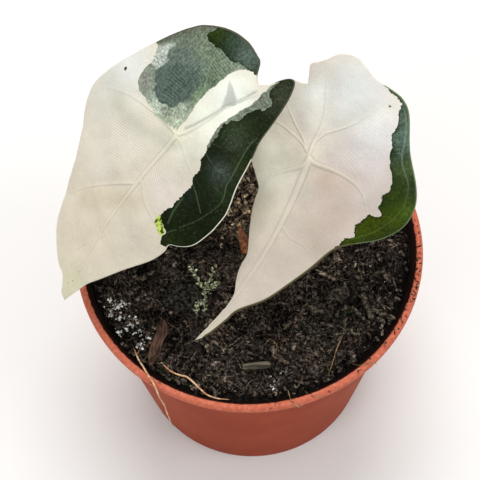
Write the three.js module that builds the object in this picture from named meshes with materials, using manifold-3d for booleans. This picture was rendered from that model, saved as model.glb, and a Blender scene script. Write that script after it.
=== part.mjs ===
// A young alocasia with two half-white leaves, growing in a terracotta-coloured nursery pot.
// Millimetres, +Z up. The origin is the centre of the pot's base, and -Y is the front.
import * as THREE from "three";
import { mergeVertices } from "three/addons/utils/BufferGeometryUtils.js";
import Module from "manifold-3d";

// Driving dimensions of the pot
const RIM_RADIUS = 60;
const POT_HEIGHT = 99;
const BASE_RADIUS = 44.5;
const SHOULDER_RADIUS = 56;
const SHOULDER_HEIGHT = 95;
const WALL = 1.2;
const FLOOR = 2.2;
const PAD_RADIUS = 15;
const FOOT_INNER_RADIUS = 37;
const FOOT_RECESS = 1.2;
const DRAIN_COUNT = 6;
const DRAIN_RADIUS = 3.5;
const DRAIN_CIRCLE = 26;
const NOTCH_COUNT = 4;
const NOTCH_WIDTH = 6;
const POT_SIDES = 64;

// Driving dimensions of the soil
const SOIL_LEVEL = 94.6;
const SOIL_MOUND = 1.2;
const SOIL_LUMP = 0.8;
const SOIL_GAP = 0.35;
const SOIL_SIDES = 52;
const SOIL_RINGS = 12;
const CRUMB_COUNT = 44;

// Driving dimensions of the stems and blades
const BLADE_DEPTH = 0.95;
const RIB_RISE = 0.35;
const RIB_KEEL = 0.7;
const RIB_WIDTH = 2.4;
const STEM_GAP = 0.55;
const HOLE_CLEARANCE = 0.4;
const HOLE_DEPTH = 13;
const STEM_SIDES = 12;
const MIDRIB_LINES = 30;
const LOBE_LINES = 19;
const CROSS_STEPS = 10;
const TIP_REACH = 0.97;
const VEIN_SLANT = 0.6;

// A blade is drawn flat, in a plan whose origin is the stalk's joint: x runs across, to the
// right as one looks down on the leaf from its tip, and y runs along the leaf to its tip.
// side is the direction of x in the row frame, and tip is where the end of the blade hangs.
// bow is how far the midrib swings sideways, arch how far it rises between joint and tip.
// Each fold is a slope that the blade takes beyond a line beside the midrib.
const LEFT_LEAF = {
  joint: [-20.4, 5.4, 165],
  tip: [-60.7, -24.4, 112],
  side: [0.556, -0.83, 0.045],
  bow: -2.4,
  arch: 2.5,
  folds: [
    { side: -1, start: 0, slope: 0.18, ease: 6 },
    { side: 1, start: 6, slope: 0.55, ease: 8 },
  ],
  leftMargin: [
    [0, 73.2], [-2.6, 72.4], [-4.4, 69.6], [-6.6, 67.2], [-9.6, 66.6], [-12.7, 65], [-16.4, 62],
    [-21, 56], [-24.6, 46], [-28.8, 35.5], [-33.2, 28.2], [-38.8, 21], [-41, 14.6], [-39, 6.5],
    [-35.5, -1.2], [-30.6, -11], [-27.5, -17], [-23.5, -23], [-19.4, -27.4], [-11.7, -32.2],
    [-3.3, -34.5], [3, -33.9], [5.2, -33], [7.3, -30], [9.6, -28.4],
  ],
  rightMargin: [
    [9.6, -28.4], [11.6, -30.2], [13.2, -33.3], [14.9, -35.6], [16.7, -35.6], [18.3, -31.8],
    [19.6, -25], [20.5, -16.5], [21.9, -9.8], [23.3, -2.9], [24.8, 3.7], [25.9, 9.2], [26, 14.2],
    [25.7, 17.4], [24.3, 23], [22.9, 25.7], [20.9, 27.6], [18.6, 29.2], [18.6, 32.2], [17.3, 36.6],
    [15.4, 40.5], [11.6, 47.4], [7.5, 55.3], [4.3, 61], [2.4, 66], [0, 73.2],
  ],
  ribs: [
    [[0, 0], [-10.5, 2], [-23.5, 5.5], [-31.5, 9.5], [-39.5, 15]],
    [[-2, 22], [-10.5, 30.5], [-17, 38], [-23, 47]],
    [[-1.6, 45], [-6, 54], [-9, 63]],
    [[0, 0], [5.5, 2.5], [10, 4.5], [18, 8], [25, 13]],
    [[-1.8, 20], [6, 24], [11, 26], [15.5, 29], [18, 34]],
    [[0, 0], [-1.5, -3], [-2.2, -9], [-4, -16], [-7.5, -21], [-9, -30]],
    [[0, 0], [1.5, -2.5], [4, -9.3], [5.6, -15.2], [8.5, -21], [14, -31]],
  ],
};

const RIGHT_LEAF = {
  joint: [19.4, 1.6, 155],
  tip: [-18.4, -38.3, 108],
  side: [0.833, -0.493, -0.251],
  bow: 4,
  arch: 3,
  folds: [
    { side: -1, start: 0, slope: 0.75, ease: 4 },
    { side: 1, start: 0, slope: 0.12, ease: 6 },
    { side: 1, start: 20, slope: 0.9, ease: 5 },
  ],
  leftMargin: [
    [0, 72.4], [0.6, 68.6], [2, 62.5], [2.7, 57], [2.7, 50.8], [1.2, 47], [0.1, 43.9], [-0.4, 40.5],
    [-0.5, 37.4], [-1.5, 35], [-4, 30.6], [-6.3, 25.6], [-7.7, 21.6], [-8.6, 18], [-11.2, 15.8],
    [-15, 13.2], [-18.6, 10.4], [-21, 6], [-22, 0], [-21.8, -6], [-20.4, -11.4], [-18.2, -14.6],
    [-16, -15.6], [-14.2, -16.2], [-12.6, -17.2],
  ],
  rightMargin: [
    [-12.6, -17.2], [-14.1, -20], [-15.2, -22.4], [-13.6, -24.2], [-11.7, -26.4], [-9, -30.2],
    [-4.3, -32.5], [0.1, -31.8], [4.5, -30.2], [10.2, -30.1], [14.8, -29.4], [19.1, -26.3],
    [25.4, -16.8], [34, -6.4], [37.4, 0.4], [37.2, 6.8], [32.8, 12.4], [26.1, 16.4], [21.9, 21],
    [18.7, 30.9], [12.9, 45.8], [6.9, 54.8], [5.4, 60.1], [3, 67.8], [0, 72.4],
  ],
  ribs: [
    [[0, 1], [-1, 3.7], [-5.6, 9.7], [-7.4, 13.3], [-7, 17.6], [-4.7, 23.4]],
    [[0, 0], [2.8, 0.4], [12, -0.6], [19.4, 0.8], [24.7, 6], [28, 12]],
    [[-0.4, -6], [0.4, -8], [4.9, -15.4], [8.4, -22.4], [10.5, -27]],
    [[0, 0], [-1.8, -3.3], [-1.3, -9.8], [-5.6, -18.6], [-8.4, -24]],
    [[-2, -1.4], [-4.5, -3.3], [-9.7, -5.4], [-14.2, -7.9], [-21, -12]],
    [[-2, -1.4], [-4.2, -2.2], [-8.6, -2.4], [-14, -2], [-23, 0.5]],
    [[4.4, 23], [8.1, 24.6], [13.3, 24.6], [18, 27]],
  ],
};

// A stem is the neck of the corm in its soil hole and the leaf stalk that rises from it. Each
// row gives a point on its middle line and the radius there.
const LEFT_STEM = [
  [-14, 14, 83, 3.6], [-14, 14, 92, 4.6], [-14, 14, 97, 4.3], [-13.6, 14.4, 106, 3.2],
  [-12.6, 14.8, 122, 2.5], [-12.4, 14.2, 140, 2.2], [-14.2, 11.6, 153, 2],
];
const RIGHT_STEM = [
  [8, 9, 83, 3.6], [8, 9, 92, 4.8], [8, 9, 97, 4.5], [9, 9.8, 106, 3.4],
  [12, 11.6, 120, 2.6], [16, 12.6, 134, 2.3], [18.6, 11, 145, 2.1],
];

// Small pieces that lie on the soil or stand in it
const SHEATH_PATH = [[-0.6, -2.6, 91], [-1.2, -1.2, 97], [-2, 1, 102.5], [-3.2, 3.4, 107]];
const SHEATH_RADII = [1.1, 1.9, 1.5, 0.5];
const TWIST_PATH = [
  [-30.5, -26.4, 96], [-29.8, -30.2, 96.8], [-31.7, -34.5, 96.6], [-32.3, -38.5, 96.8],
  [-33.3, -42, 95.8],
];
const TWIST_RADII = [0.7, 1.9, 1.3, 1.6, 0.5];
const ROOT_PATH = [
  [-39.4, -36.4, 95.5], [-37.9, -40.4, 97.2], [-36, -44, 99.4], [-34.5, -46.9, 100.3],
  [-32.9, -49.4, 100.4], [-31.8, -51.6, 99.2], [-30.8, -53.4, 95], [-29.8, -53.8, 88.5],
  [-29.3, -53.8, 79], [-28.2, -54.2, 68],
];
const ROOT_RADIUS = 0.45;
const LUMP_PLACE = [-23.2, -18.2, 97];
const LUMP_RADII = [6.5, 5.2, 2.6];
const CHIP_PLACE = [1.3, -43.8, 96.6];
const CHIP_SIZE = [9.6, 2.4, 0.9];

const manifoldLibrary = await Module();
manifoldLibrary.setup();

function finish(color, roughness) {
  return new THREE.MeshStandardMaterial({ color, roughness, metalness: 0 });
}

const MATERIALS = {
  pot: finish(0xb5603f, 0.5),
  soil: finish(0x2b2520, 0.98),
  blade: finish(0xdcd2c3, 0.45),
  stem: finish(0x8f9a63, 0.5),
  sheath: finish(0x9a6242, 0.85),
  bark: finish(0x5b4636, 0.9),
  root: finish(0xd8c3a4, 0.7),
};

// A closed geometry as a solid that can be joined and cut.
function solidOf(geometry) {
  const bare = geometry.index ? geometry.toNonIndexed() : geometry.clone();
  const onlyPlaces = new THREE.BufferGeometry();
  onlyPlaces.setAttribute("position", bare.getAttribute("position"));
  const merged = mergeVertices(onlyPlaces, 1e-3);
  return new manifoldLibrary.Manifold(
    new manifoldLibrary.Mesh({
      numProp: 3,
      vertProperties: new Float32Array(merged.attributes.position.array),
      triVerts: new Uint32Array(merged.index.array),
    }),
  );
}

function geometryOf(solid) {
  const mesh = solid.getMesh();
  const geometry = new THREE.BufferGeometry();
  geometry.setAttribute("position", new THREE.BufferAttribute(mesh.vertProperties, 3));
  geometry.setIndex(new THREE.BufferAttribute(mesh.triVerts, 1));
  geometry.computeVertexNormals();
  return geometry;
}

// Turns a profile of [radius, height] points, which runs from the axis back to the axis with
// the solid on its left, round the +Z axis.
function turned(profile, sides) {
  const points = profile.map(([radius, height]) => new THREE.Vector2(radius, height));
  return new THREE.LatheGeometry(points, sides).rotateX(Math.PI / 2);
}

function cylinderAt(radius, height, x, y, z, sides) {
  const geometry = new THREE.CylinderGeometry(radius, radius, height, sides);
  return geometry.rotateX(Math.PI / 2).translate(x, y, z);
}

// Radius of the pot's outer wall at a height, on a straight taper from base to shoulder.
function outerRadius(height) {
  return BASE_RADIUS + ((SHOULDER_RADIUS - BASE_RADIUS) * height) / SHOULDER_HEIGHT;
}

function potGeometry() {
  const inner = (height) => outerRadius(height) - WALL;
  const profile = [
    [0, 0], [PAD_RADIUS, 0], [PAD_RADIUS + 1, FOOT_RECESS], [FOOT_INNER_RADIUS - 1, FOOT_RECESS],
    [FOOT_INNER_RADIUS, 0], [BASE_RADIUS - 0.8, 0], [outerRadius(0.8), 0.8],
    [SHOULDER_RADIUS, SHOULDER_HEIGHT], [SHOULDER_RADIUS + 0.9, SHOULDER_HEIGHT + 0.9],
    [RIM_RADIUS - 0.7, SHOULDER_HEIGHT + 1.2], [RIM_RADIUS, SHOULDER_HEIGHT + 2],
    [RIM_RADIUS - 0.1, POT_HEIGHT - 0.8], [RIM_RADIUS - 0.8, POT_HEIGHT],
    [RIM_RADIUS - 1.7, POT_HEIGHT], [RIM_RADIUS - 2.4, POT_HEIGHT - 1],
    [inner(SHOULDER_HEIGHT - 1.5), SHOULDER_HEIGHT - 1.5], [inner(FLOOR + 1), FLOOR + 1],
    [inner(FLOOR) - 1, FLOOR], [0, FLOOR],
  ];
  let solid = solidOf(turned(profile, POT_SIDES));
  for (let i = 0; i < DRAIN_COUNT; i += 1) {
    const turn = (2 * Math.PI * (i + 0.5)) / DRAIN_COUNT;
    const [x, y] = [DRAIN_CIRCLE * Math.cos(turn), DRAIN_CIRCLE * Math.sin(turn)];
    solid = solid.subtract(solidOf(cylinderAt(DRAIN_RADIUS, 4 * FLOOR, x, y, FLOOR, 16)));
  }
  for (let i = 0; i < NOTCH_COUNT; i += 1) {
    const bar = new THREE.BoxGeometry(FOOT_RECESS * 10, NOTCH_WIDTH, 2 * FOOT_RECESS);
    bar.translate(BASE_RADIUS - 2, 0, 0).rotateZ((Math.PI * (i + 0.5) * 2) / NOTCH_COUNT);
    solid = solid.subtract(solidOf(bar));
  }
  return geometryOf(solid);
}

// A repeatable draw between 0 and 1: the fraction of a large sine of the seed.
function draw(seed) {
  const value = Math.sin(seed * 127.1 + 11.7) * 43758.5453;
  return value - Math.floor(value);
}

// Height of the soil at a place: a low mound with crossing waves for lumps.
function soilHeight(x, y) {
  const reach = Math.hypot(x, y) / (SHOULDER_RADIUS - WALL);
  const waves =
    Math.sin(0.29 * x + 1.3) * Math.cos(0.24 * y - 0.4) +
    0.6 * Math.sin(0.51 * x - 0.38 * y) +
    0.5 * Math.cos(0.17 * x + 0.63 * y + 2);
  const calmEdge = Math.min(1, Math.max(0, (1 - reach) * 8));
  return SOIL_LEVEL + SOIL_MOUND * (1 - reach * reach) + SOIL_LUMP * waves * 0.6 * calmEdge;
}

function soilGeometry() {
  const top = SHOULDER_HEIGHT - 1.5;
  const reachTop = outerRadius(top) - WALL - SOIL_GAP;
  const edge = reachTop + 0.75;
  const profile = [[0, FLOOR + SOIL_GAP], [outerRadius(FLOOR) - WALL - 1.7, FLOOR + SOIL_GAP]];
  profile.push([outerRadius(FLOOR + 1.6) - WALL - SOIL_GAP, FLOOR + 1.6], [reachTop, top]);
  for (let i = 0; i <= SOIL_RINGS; i += 1) {
    profile.push([edge * (1 - i / SOIL_RINGS), SOIL_LEVEL]);
  }
  const geometry = turned(profile, SOIL_SIDES);
  const place = geometry.getAttribute("position");
  for (let i = 0; i < place.count; i += 1) {
    if (place.getZ(i) > top + 0.2) {
      place.setZ(i, soilHeight(place.getX(i), place.getY(i)));
    }
  }
  let solid = solidOf(geometry);
  for (let i = 0; i < CRUMB_COUNT; i += 1) {
    const turn = 2.399963 * i;
    const reach = 50 * Math.sqrt((i + 0.5) / CRUMB_COUNT);
    const [x, y] = [reach * Math.cos(turn), reach * Math.sin(turn)];
    const crumb = new THREE.IcosahedronGeometry(1, 0);
    crumb.scale(1 + 1.4 * draw(i), 0.9 + 0.9 * draw(i + 50), 0.7 + 0.4 * draw(i + 90));
    crumb.rotateZ(6.28 * draw(i + 130)).translate(x, y, soilHeight(x, y) + 0.15);
    solid = solid.add(solidOf(crumb));
  }
  const holes = [LEFT_STEM, RIGHT_STEM].map((stem) => [stem[1][0], stem[1][1], stem[1][3]]);
  holes.push([SHEATH_PATH[0][0] - 0.3, SHEATH_PATH[0][1] + 0.9, SHEATH_RADII[1] + 0.7]);
  for (const [x, y, radius] of holes) {
    const low = SOIL_LEVEL + 3 - HOLE_DEPTH;
    const hole = cylinderAt(radius + HOLE_CLEARANCE, HOLE_DEPTH + 4, x, y, low + HOLE_DEPTH / 2, 20);
    solid = solid.subtract(solidOf(hole));
  }
  for (const laid of [lumpGeometry(1.12), chipGeometry(1.15), twistGeometry(0.35)]) {
    solid = solid.subtract(solidOf(laid));
  }
  solid = solid.subtract(solidOf(rootGeometry(0.35)));
  return geometryOf(solid);
}

// A round-sectioned body along a smooth path, with a radius at each path point and flat ends.
function limb(path, radii, sides, steps) {
  const curve = new THREE.CatmullRomCurve3(path.map((p) => new THREE.Vector3(p[0], p[1], p[2])));
  const frames = curve.computeFrenetFrames(steps, false);
  const places = [];
  const faces = [];
  for (let i = 0; i <= steps; i += 1) {
    const along = i / steps;
    const centre = curve.getPointAt(along);
    const at = curve.getUtoTmapping(along) * (radii.length - 1);
    const low = Math.min(Math.floor(at), radii.length - 2);
    const radius = radii[low] + (radii[low + 1] - radii[low]) * (at - low);
    for (let k = 0; k < sides; k += 1) {
      const turn = (2 * Math.PI * k) / sides;
      const spoke = frames.normals[i].clone().multiplyScalar(radius * Math.cos(turn));
      spoke.addScaledVector(frames.binormals[i], radius * Math.sin(turn)).add(centre);
      places.push(spoke.x, spoke.y, spoke.z);
    }
  }
  for (let i = 0; i < steps; i += 1) {
    for (let k = 0; k < sides; k += 1) {
      const [a, b] = [i * sides + k, i * sides + ((k + 1) % sides)];
      faces.push(a, b, b + sides, a, b + sides, a + sides);
    }
  }
  for (let k = 1; k < sides - 1; k += 1) {
    const last = steps * sides;
    faces.push(0, k + 1, k, last, last + k, last + k + 1);
  }
  const geometry = new THREE.BufferGeometry();
  geometry.setAttribute("position", new THREE.Float32BufferAttribute(places, 3));
  geometry.setIndex(faces);
  geometry.computeVertexNormals();
  return geometry;
}

function sheathGeometry() {
  return limb(SHEATH_PATH, SHEATH_RADII, 7, 8);
}

function twistGeometry(extra) {
  return limb(TWIST_PATH, TWIST_RADII.map((radius) => radius + extra), 6, 10);
}

function rootGeometry(extra) {
  return limb(ROOT_PATH, ROOT_PATH.map(() => ROOT_RADIUS + extra), 6, 30);
}

function lumpGeometry(swell) {
  const lump = new THREE.IcosahedronGeometry(1, 2);
  const place = lump.getAttribute("position");
  for (let i = 0; i < place.count; i += 1) {
    const [x, y, z] = [place.getX(i), place.getY(i), place.getZ(i)];
    const rough = 1 + 0.08 * Math.sin(4 * x + 1) * Math.cos(5 * y) + 0.05 * Math.sin(6 * z);
    place.setXYZ(i, x * rough, y * rough, z * rough);
  }
  lump.scale(LUMP_RADII[0] * swell, LUMP_RADII[1] * swell, LUMP_RADII[2] * swell);
  return lump.translate(LUMP_PLACE[0], LUMP_PLACE[1], LUMP_PLACE[2]);
}

function chipGeometry(swell) {
  const chip = new THREE.BoxGeometry(CHIP_SIZE[0], CHIP_SIZE[1], CHIP_SIZE[2], 4, 1, 1);
  const place = chip.getAttribute("position");
  for (let i = 0; i < place.count; i += 1) {
    const taper = 1 - 0.35 * Math.abs(place.getX(i) / CHIP_SIZE[0]) * 2;
    place.setY(i, place.getY(i) * taper);
  }
  chip.scale(swell, swell * 1.2, swell * 1.4);
  return chip.rotateZ(0.08).translate(CHIP_PLACE[0], CHIP_PLACE[1], CHIP_PLACE[2]);
}

// Shortest distance in the plan from (x, y) to a line through the given points.
function distanceToLine(x, y, line) {
  let best = Infinity;
  for (let i = 0; i + 1 < line.length; i += 1) {
    const [ax, ay] = line[i];
    const [dx, dy] = [line[i + 1][0] - ax, line[i + 1][1] - ay];
    const raw = ((x - ax) * dx + (y - ay) * dy) / (dx * dx + dy * dy);
    const part = Math.min(1, Math.max(0, raw));
    best = Math.min(best, Math.hypot(x - ax - part * dx, y - ay - part * dy));
  }
  return best;
}

function leafLength(leaf) {
  return new THREE.Vector3(...leaf.tip).distanceTo(new THREE.Vector3(...leaf.joint));
}

// How far the midrib lies beside the plan's y axis: a parabola from joint to tip.
function midribOffset(leaf, y) {
  const part = Math.min(1, Math.max(0, y / leafLength(leaf)));
  return leaf.bow * 4 * part * (1 - part);
}

// A slope that starts softly at 0 and runs straight beyond ease.
function softSlope(distance, ease) {
  const beyond = Math.max(0, distance);
  return Math.sqrt(beyond * beyond + ease * ease) - ease;
}

// Height of the blade above its plan: the long arch, less each fold, plus the risen ribs.
function bladeHeight(leaf, x, y) {
  const part = y / leafLength(leaf);
  let height = leaf.arch * 4 * part * (1 - part);
  const across = x - midribOffset(leaf, y);
  for (const fold of leaf.folds) {
    height -= fold.slope * softSlope(fold.side * across - fold.start, fold.ease);
  }
  return height;
}

// 1 on a rib and falling to 0 beside it, as a bell curve. Ribs fade towards the margin.
function ribStrength(leaf, x, y, towardsMargin) {
  let nearest = Infinity;
  for (const rib of leaf.ribs) {
    nearest = Math.min(nearest, distanceToLine(x, y, rib));
  }
  const middle = y > 0 ? Math.abs(x - midribOffset(leaf, y)) : Math.hypot(x, y);
  nearest = Math.min(nearest, middle);
  return Math.exp(-((nearest / RIB_WIDTH) ** 2)) * (1 - 0.9 * towardsMargin);
}

// Where the cross line of a margin point would leave the midrib: nearer the joint than the
// point by a slant. All the lines of the back lobes start at the joint.
function crossLineFoot(leaf, point) {
  const slant = point.y - VEIN_SLANT * Math.abs(point.x - midribOffset(leaf, point.y));
  return Math.min(TIP_REACH * leafLength(leaf), Math.max(0, slant));
}

// Cross lines of one half of a blade from its tip to the notch, each a pair of foot and margin
// point. Both halves use the same feet, evenly spaced along the midrib, so they meet there.
function halfCrossLines(leaf, margin) {
  const curve = new THREE.SplineCurve(margin.map(([x, y]) => new THREE.Vector2(x, y)));
  const fine = curve.getSpacedPoints(600);
  const feet = [];
  for (const point of fine) {
    feet.push(Math.min(crossLineFoot(leaf, point), feet.length ? feet[feet.length - 1] : Infinity));
  }
  const lobeStart = feet.findIndex((foot) => foot <= 0);
  const top = TIP_REACH * leafLength(leaf);
  const evened = feet.map((foot, i) => 0.85 * foot + 0.15 * top * (1 - i / lobeStart));
  const lines = [];
  let at = 0;
  for (let k = 0; k < MIDRIB_LINES; k += 1) {
    const y = top * (1 - k / MIDRIB_LINES);
    while (k > 0 && evened[at] > y) {
      at += 1;
    }
    lines.push([new THREE.Vector2(midribOffset(leaf, y), y), fine[at]]);
  }
  for (let k = 0; k <= LOBE_LINES; k += 1) {
    const point = fine[lobeStart + Math.round(((600 - lobeStart) * k) / LOBE_LINES)];
    lines.push([new THREE.Vector2(0, 0), point]);
  }
  return lines;
}

// A blade is a thin solid over its plan. Cross lines run from the midrib to the margin, and
// both faces carry the same triangles, so the faces never meet between them.
function bladeGeometry(leaf) {
  const lines = halfCrossLines(leaf, leaf.leftMargin);
  const rightLines = halfCrossLines(leaf, [...leaf.rightMargin].reverse()).reverse();
  lines.push(...rightLines.slice(1, -1));
  const joint = new THREE.Vector3(...leaf.joint);
  const along = new THREE.Vector3(...leaf.tip).sub(joint).normalize();
  const across = new THREE.Vector3(...leaf.side);
  across.addScaledVector(along, -across.dot(along)).normalize();
  const up = new THREE.Vector3().crossVectors(along, across);
  const places = [];
  for (const [foot, point] of lines) {
    for (let k = 0; k <= CROSS_STEPS; k += 1) {
      const part = k / CROSS_STEPS;
      const x = foot.x + (point.x - foot.x) * part;
      const y = foot.y + (point.y - foot.y) * part;
      const rib = ribStrength(leaf, x, y, part);
      const middle = bladeHeight(leaf, x, y);
      const faceHeights = [BLADE_DEPTH / 2 + RIB_RISE * rib, -BLADE_DEPTH / 2 - RIB_KEEL * rib];
      for (const offset of faceHeights) {
        const at = joint.clone().addScaledVector(across, x).addScaledVector(along, y);
        at.addScaledVector(up, middle + offset);
        places.push(at.x, at.y, at.z);
      }
    }
  }
  const faces = [];
  const count = lines.length;
  const index = (line, step, face) => ((line % count) * (CROSS_STEPS + 1) + step) * 2 + face;
  for (let line = 0; line < count; line += 1) {
    for (let step = 0; step < CROSS_STEPS; step += 1) {
      const corners = [[line, step], [line, step + 1], [line + 1, step + 1], [line + 1, step]];
      const [a, b, c, d] = corners.map(([i, k]) => index(i, k, 0));
      faces.push(a, c, b, a, d, c);
      const [e, f, g, h] = corners.map(([i, k]) => index(i, k, 1));
      faces.push(e, f, g, e, g, h);
    }
    const [top, under] = [index(line, CROSS_STEPS, 0), index(line, CROSS_STEPS, 1)];
    const [nextTop, nextUnder] = [index(line + 1, CROSS_STEPS, 0), index(line + 1, CROSS_STEPS, 1)];
    faces.push(top, nextUnder, under, top, nextTop, nextUnder);
  }
  return welded(places, faces);
}

// Merges the points that cross lines share on the midrib and drops the triangles that this
// empties.
function welded(places, faces) {
  const loose = new THREE.BufferGeometry();
  loose.setAttribute("position", new THREE.Float32BufferAttribute(places, 3));
  loose.setIndex(faces);
  const merged = mergeVertices(loose, 1e-3);
  const kept = [];
  const corner = merged.index.array;
  for (let i = 0; i < corner.length; i += 3) {
    const [a, b, c] = [corner[i], corner[i + 1], corner[i + 2]];
    if (a !== b && b !== c && c !== a) {
      kept.push(a, b, c);
    }
  }
  merged.setIndex(kept);
  merged.computeVertexNormals();
  return merged;
}

// The stalk's last point is under the blade's joint, clear of its underside. The stalk meets
// the blade square on, so its end leans with the slope that the arch has there.
function stemGeometry(stem, leaf) {
  const joint = new THREE.Vector3(...leaf.joint);
  const along = new THREE.Vector3(...leaf.tip).sub(joint).normalize();
  const up = new THREE.Vector3().crossVectors(along, new THREE.Vector3(...leaf.side)).normalize();
  const underside = BLADE_DEPTH / 2 + RIB_KEEL + STEM_GAP;
  up.addScaledVector(along, (-4 * leaf.arch) / leafLength(leaf)).normalize();
  const end = joint.clone().addScaledVector(up, -underside);
  const before = end.clone().addScaledVector(up, -4);
  const path = stem.map(([x, y, z]) => [x, y, z]);
  path.push(before.toArray(), end.toArray());
  const topRadius = stem[stem.length - 1][3];
  const radii = [...stem.map((row) => row[3]), topRadius * 0.95, topRadius];
  return limb(path, radii, STEM_SIDES, 30);
}

function piece(name, geometry, material) {
  const mesh = new THREE.Mesh(geometry, material);
  mesh.name = name;
  return mesh;
}

const plant = new THREE.Group();
plant.add(
  piece("stem_left", stemGeometry(LEFT_STEM, LEFT_LEAF), MATERIALS.stem),
  piece("blade_left", bladeGeometry(LEFT_LEAF), MATERIALS.blade),
  piece("stem_right", stemGeometry(RIGHT_STEM, RIGHT_LEAF), MATERIALS.stem),
  piece("blade_right", bladeGeometry(RIGHT_LEAF), MATERIALS.blade),
  piece("old_sheath", sheathGeometry(), MATERIALS.sheath),
);

const filling = new THREE.Group();
filling.add(
  piece("soil", soilGeometry(), MATERIALS.soil),
  piece("peat_lump", lumpGeometry(1), MATERIALS.soil),
  piece("bark_twist", twistGeometry(0), MATERIALS.bark),
  piece("bark_chip", chipGeometry(1), MATERIALS.bark),
  piece("root_strand", rootGeometry(0), MATERIALS.root),
);

const pottedPlant = new THREE.Group();
pottedPlant.add(piece("pot", potGeometry(), MATERIALS.pot), filling, plant);

export default pottedPlant;
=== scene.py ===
import bpy
import numpy as np
from mathutils import Matrix


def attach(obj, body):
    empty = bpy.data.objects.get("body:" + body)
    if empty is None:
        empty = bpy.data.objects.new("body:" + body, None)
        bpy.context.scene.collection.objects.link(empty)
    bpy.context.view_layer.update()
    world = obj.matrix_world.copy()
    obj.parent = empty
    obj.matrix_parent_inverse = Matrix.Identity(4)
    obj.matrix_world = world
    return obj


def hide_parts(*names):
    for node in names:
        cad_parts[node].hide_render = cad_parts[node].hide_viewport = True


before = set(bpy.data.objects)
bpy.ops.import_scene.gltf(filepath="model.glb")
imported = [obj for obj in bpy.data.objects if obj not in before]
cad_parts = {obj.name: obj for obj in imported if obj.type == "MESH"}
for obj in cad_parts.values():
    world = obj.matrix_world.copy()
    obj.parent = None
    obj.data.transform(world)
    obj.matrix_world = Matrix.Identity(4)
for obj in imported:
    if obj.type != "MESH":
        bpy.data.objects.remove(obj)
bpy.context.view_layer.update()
MM = 0.001
print("solids in the frame:", sorted(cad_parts))

# %% [markdown]
# ## Camera
# The photo was taken by hand from above and in front. A camera's place and turn can be solved
# from two ellipses of known size, here the pot's rim and base. The three rows below are the
# directions of right, up and back of that solved camera, and the lens follows from the size of
# the rim in the picture.
# %% Camera
RIGHT = (0.99956524, -0.02276788, -0.01873369)
UP = (0.028744, 0.89397548, 0.44719306)
BACK = (0.00656582, -0.44753712, 0.89424125)
CAMERA_PLACE = (0.0, -0.206335, 0.515440)
camera_data = bpy.data.cameras.new("camera")
camera_data.lens = 100.98
camera_data.sensor_width = 36.0
camera = bpy.data.objects.new("camera", camera_data)
turn = Matrix((RIGHT, UP, BACK)).transposed().to_4x4()
camera.matrix_world = Matrix.Translation(CAMERA_PLACE) @ turn
bpy.context.scene.collection.objects.link(camera)
bpy.context.scene.camera = camera
bpy.context.scene.view_settings.view_transform = "Standard"
print("camera looks down at", round(float(np.degrees(np.arcsin(BACK[2]))), 1), "degrees")

# %% [markdown]
# ## Colours
# Colours are written as the 0 to 255 values that one reads off a picture, and turned into the
# linear values that a renderer adds and multiplies.
# %% Colours


def paint(red, green, blue):
    """Linear RGBA of a screen colour: each value over 255, raised by the screen's own curve."""
    share = np.array([red, green, blue], float) / 255
    linear = np.where(share <= 0.04045, share / 12.92, ((share + 0.055) / 1.055) ** 2.4)
    return (*linear.tolist(), 1.0)


print("screen grey 128 is", round(paint(128, 128, 128)[0], 3), "in linear light")

# %% [markdown]
# ## Smooth lines and soft noise
# An outline or a stalk's path is given by a few points, and a curve through them all rounds it.
# Lumps and uneven surfaces come from random heights on a lattice with soft steps between them.
# %% Curves and noise


def smooth_line(points, count):
    """count + 1 points evenly spaced along the Catmull-Rom curve through the given points."""
    p = np.asarray(points, float)
    t = np.linspace(0, len(p) - 1, 40 * len(p))
    i = np.minimum(t.astype(int), len(p) - 2)
    w = (t - i)[:, None]
    a, b = p[np.maximum(i - 1, 0)], p[i]
    c, d = p[i + 1], p[np.minimum(i + 2, len(p) - 1)]
    cubic = (2 * a - 5 * b + 4 * c - d) * w**2 + (3 * b - a - 3 * c + d) * w**3
    curve = 0.5 * (2 * b + (c - a) * w + cubic)
    run = np.concatenate([[0], np.cumsum(np.linalg.norm(np.diff(curve, axis=0), axis=1))])
    even = np.linspace(0, run[-1], count + 1)
    return np.stack([np.interp(even, run, axis) for axis in curve.T], 1)


def value_noise(x, y, cell, seed):
    """Smoothed random heights on a square lattice of the given cell size, from -1 to 1."""
    table = np.random.default_rng(seed).uniform(-1, 1, (256, 256))
    gx, gy = x / cell, y / cell
    ix, iy = np.floor(gx).astype(int), np.floor(gy).astype(int)
    fx, fy = gx - ix, gy - iy
    fx, fy = fx * fx * (3 - 2 * fx), fy * fy * (3 - 2 * fy)
    corner = [table[(ix + i) % 256, (iy + j) % 256] for i, j in ((0, 0), (1, 0), (0, 1), (1, 1))]
    near = corner[0] * (1 - fx) + corner[1] * fx
    far = corner[2] * (1 - fx) + corner[3] * fx
    return near * (1 - fy) + far * fy


print("points on a curve of 8 steps:", len(smooth_line(((0, 0), (1, 2), (3, 3)), 8)))

# %% [markdown]
# ## From arrays to a piece
# Every piece is handed to Blender in the same way: an array of places in millimetres and an
# array of faces, with values or colours stored on the points. Each piece rides on the root of
# the frame and is given its material.
# %% Meshes


def outward(places, faces):
    """The faces turned so that the closed shell's signed volume is positive."""
    a, b, c = (places[faces[:, k]] for k in range(3))
    volume = np.einsum("ij,ij->i", a, np.cross(b, c)).sum()
    if faces.shape[1] == 4:
        d = places[faces[:, 3]]
        volume += np.einsum("ij,ij->i", a, np.cross(c, d)).sum()
    return faces if volume > 0 else faces[:, ::-1]


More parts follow.
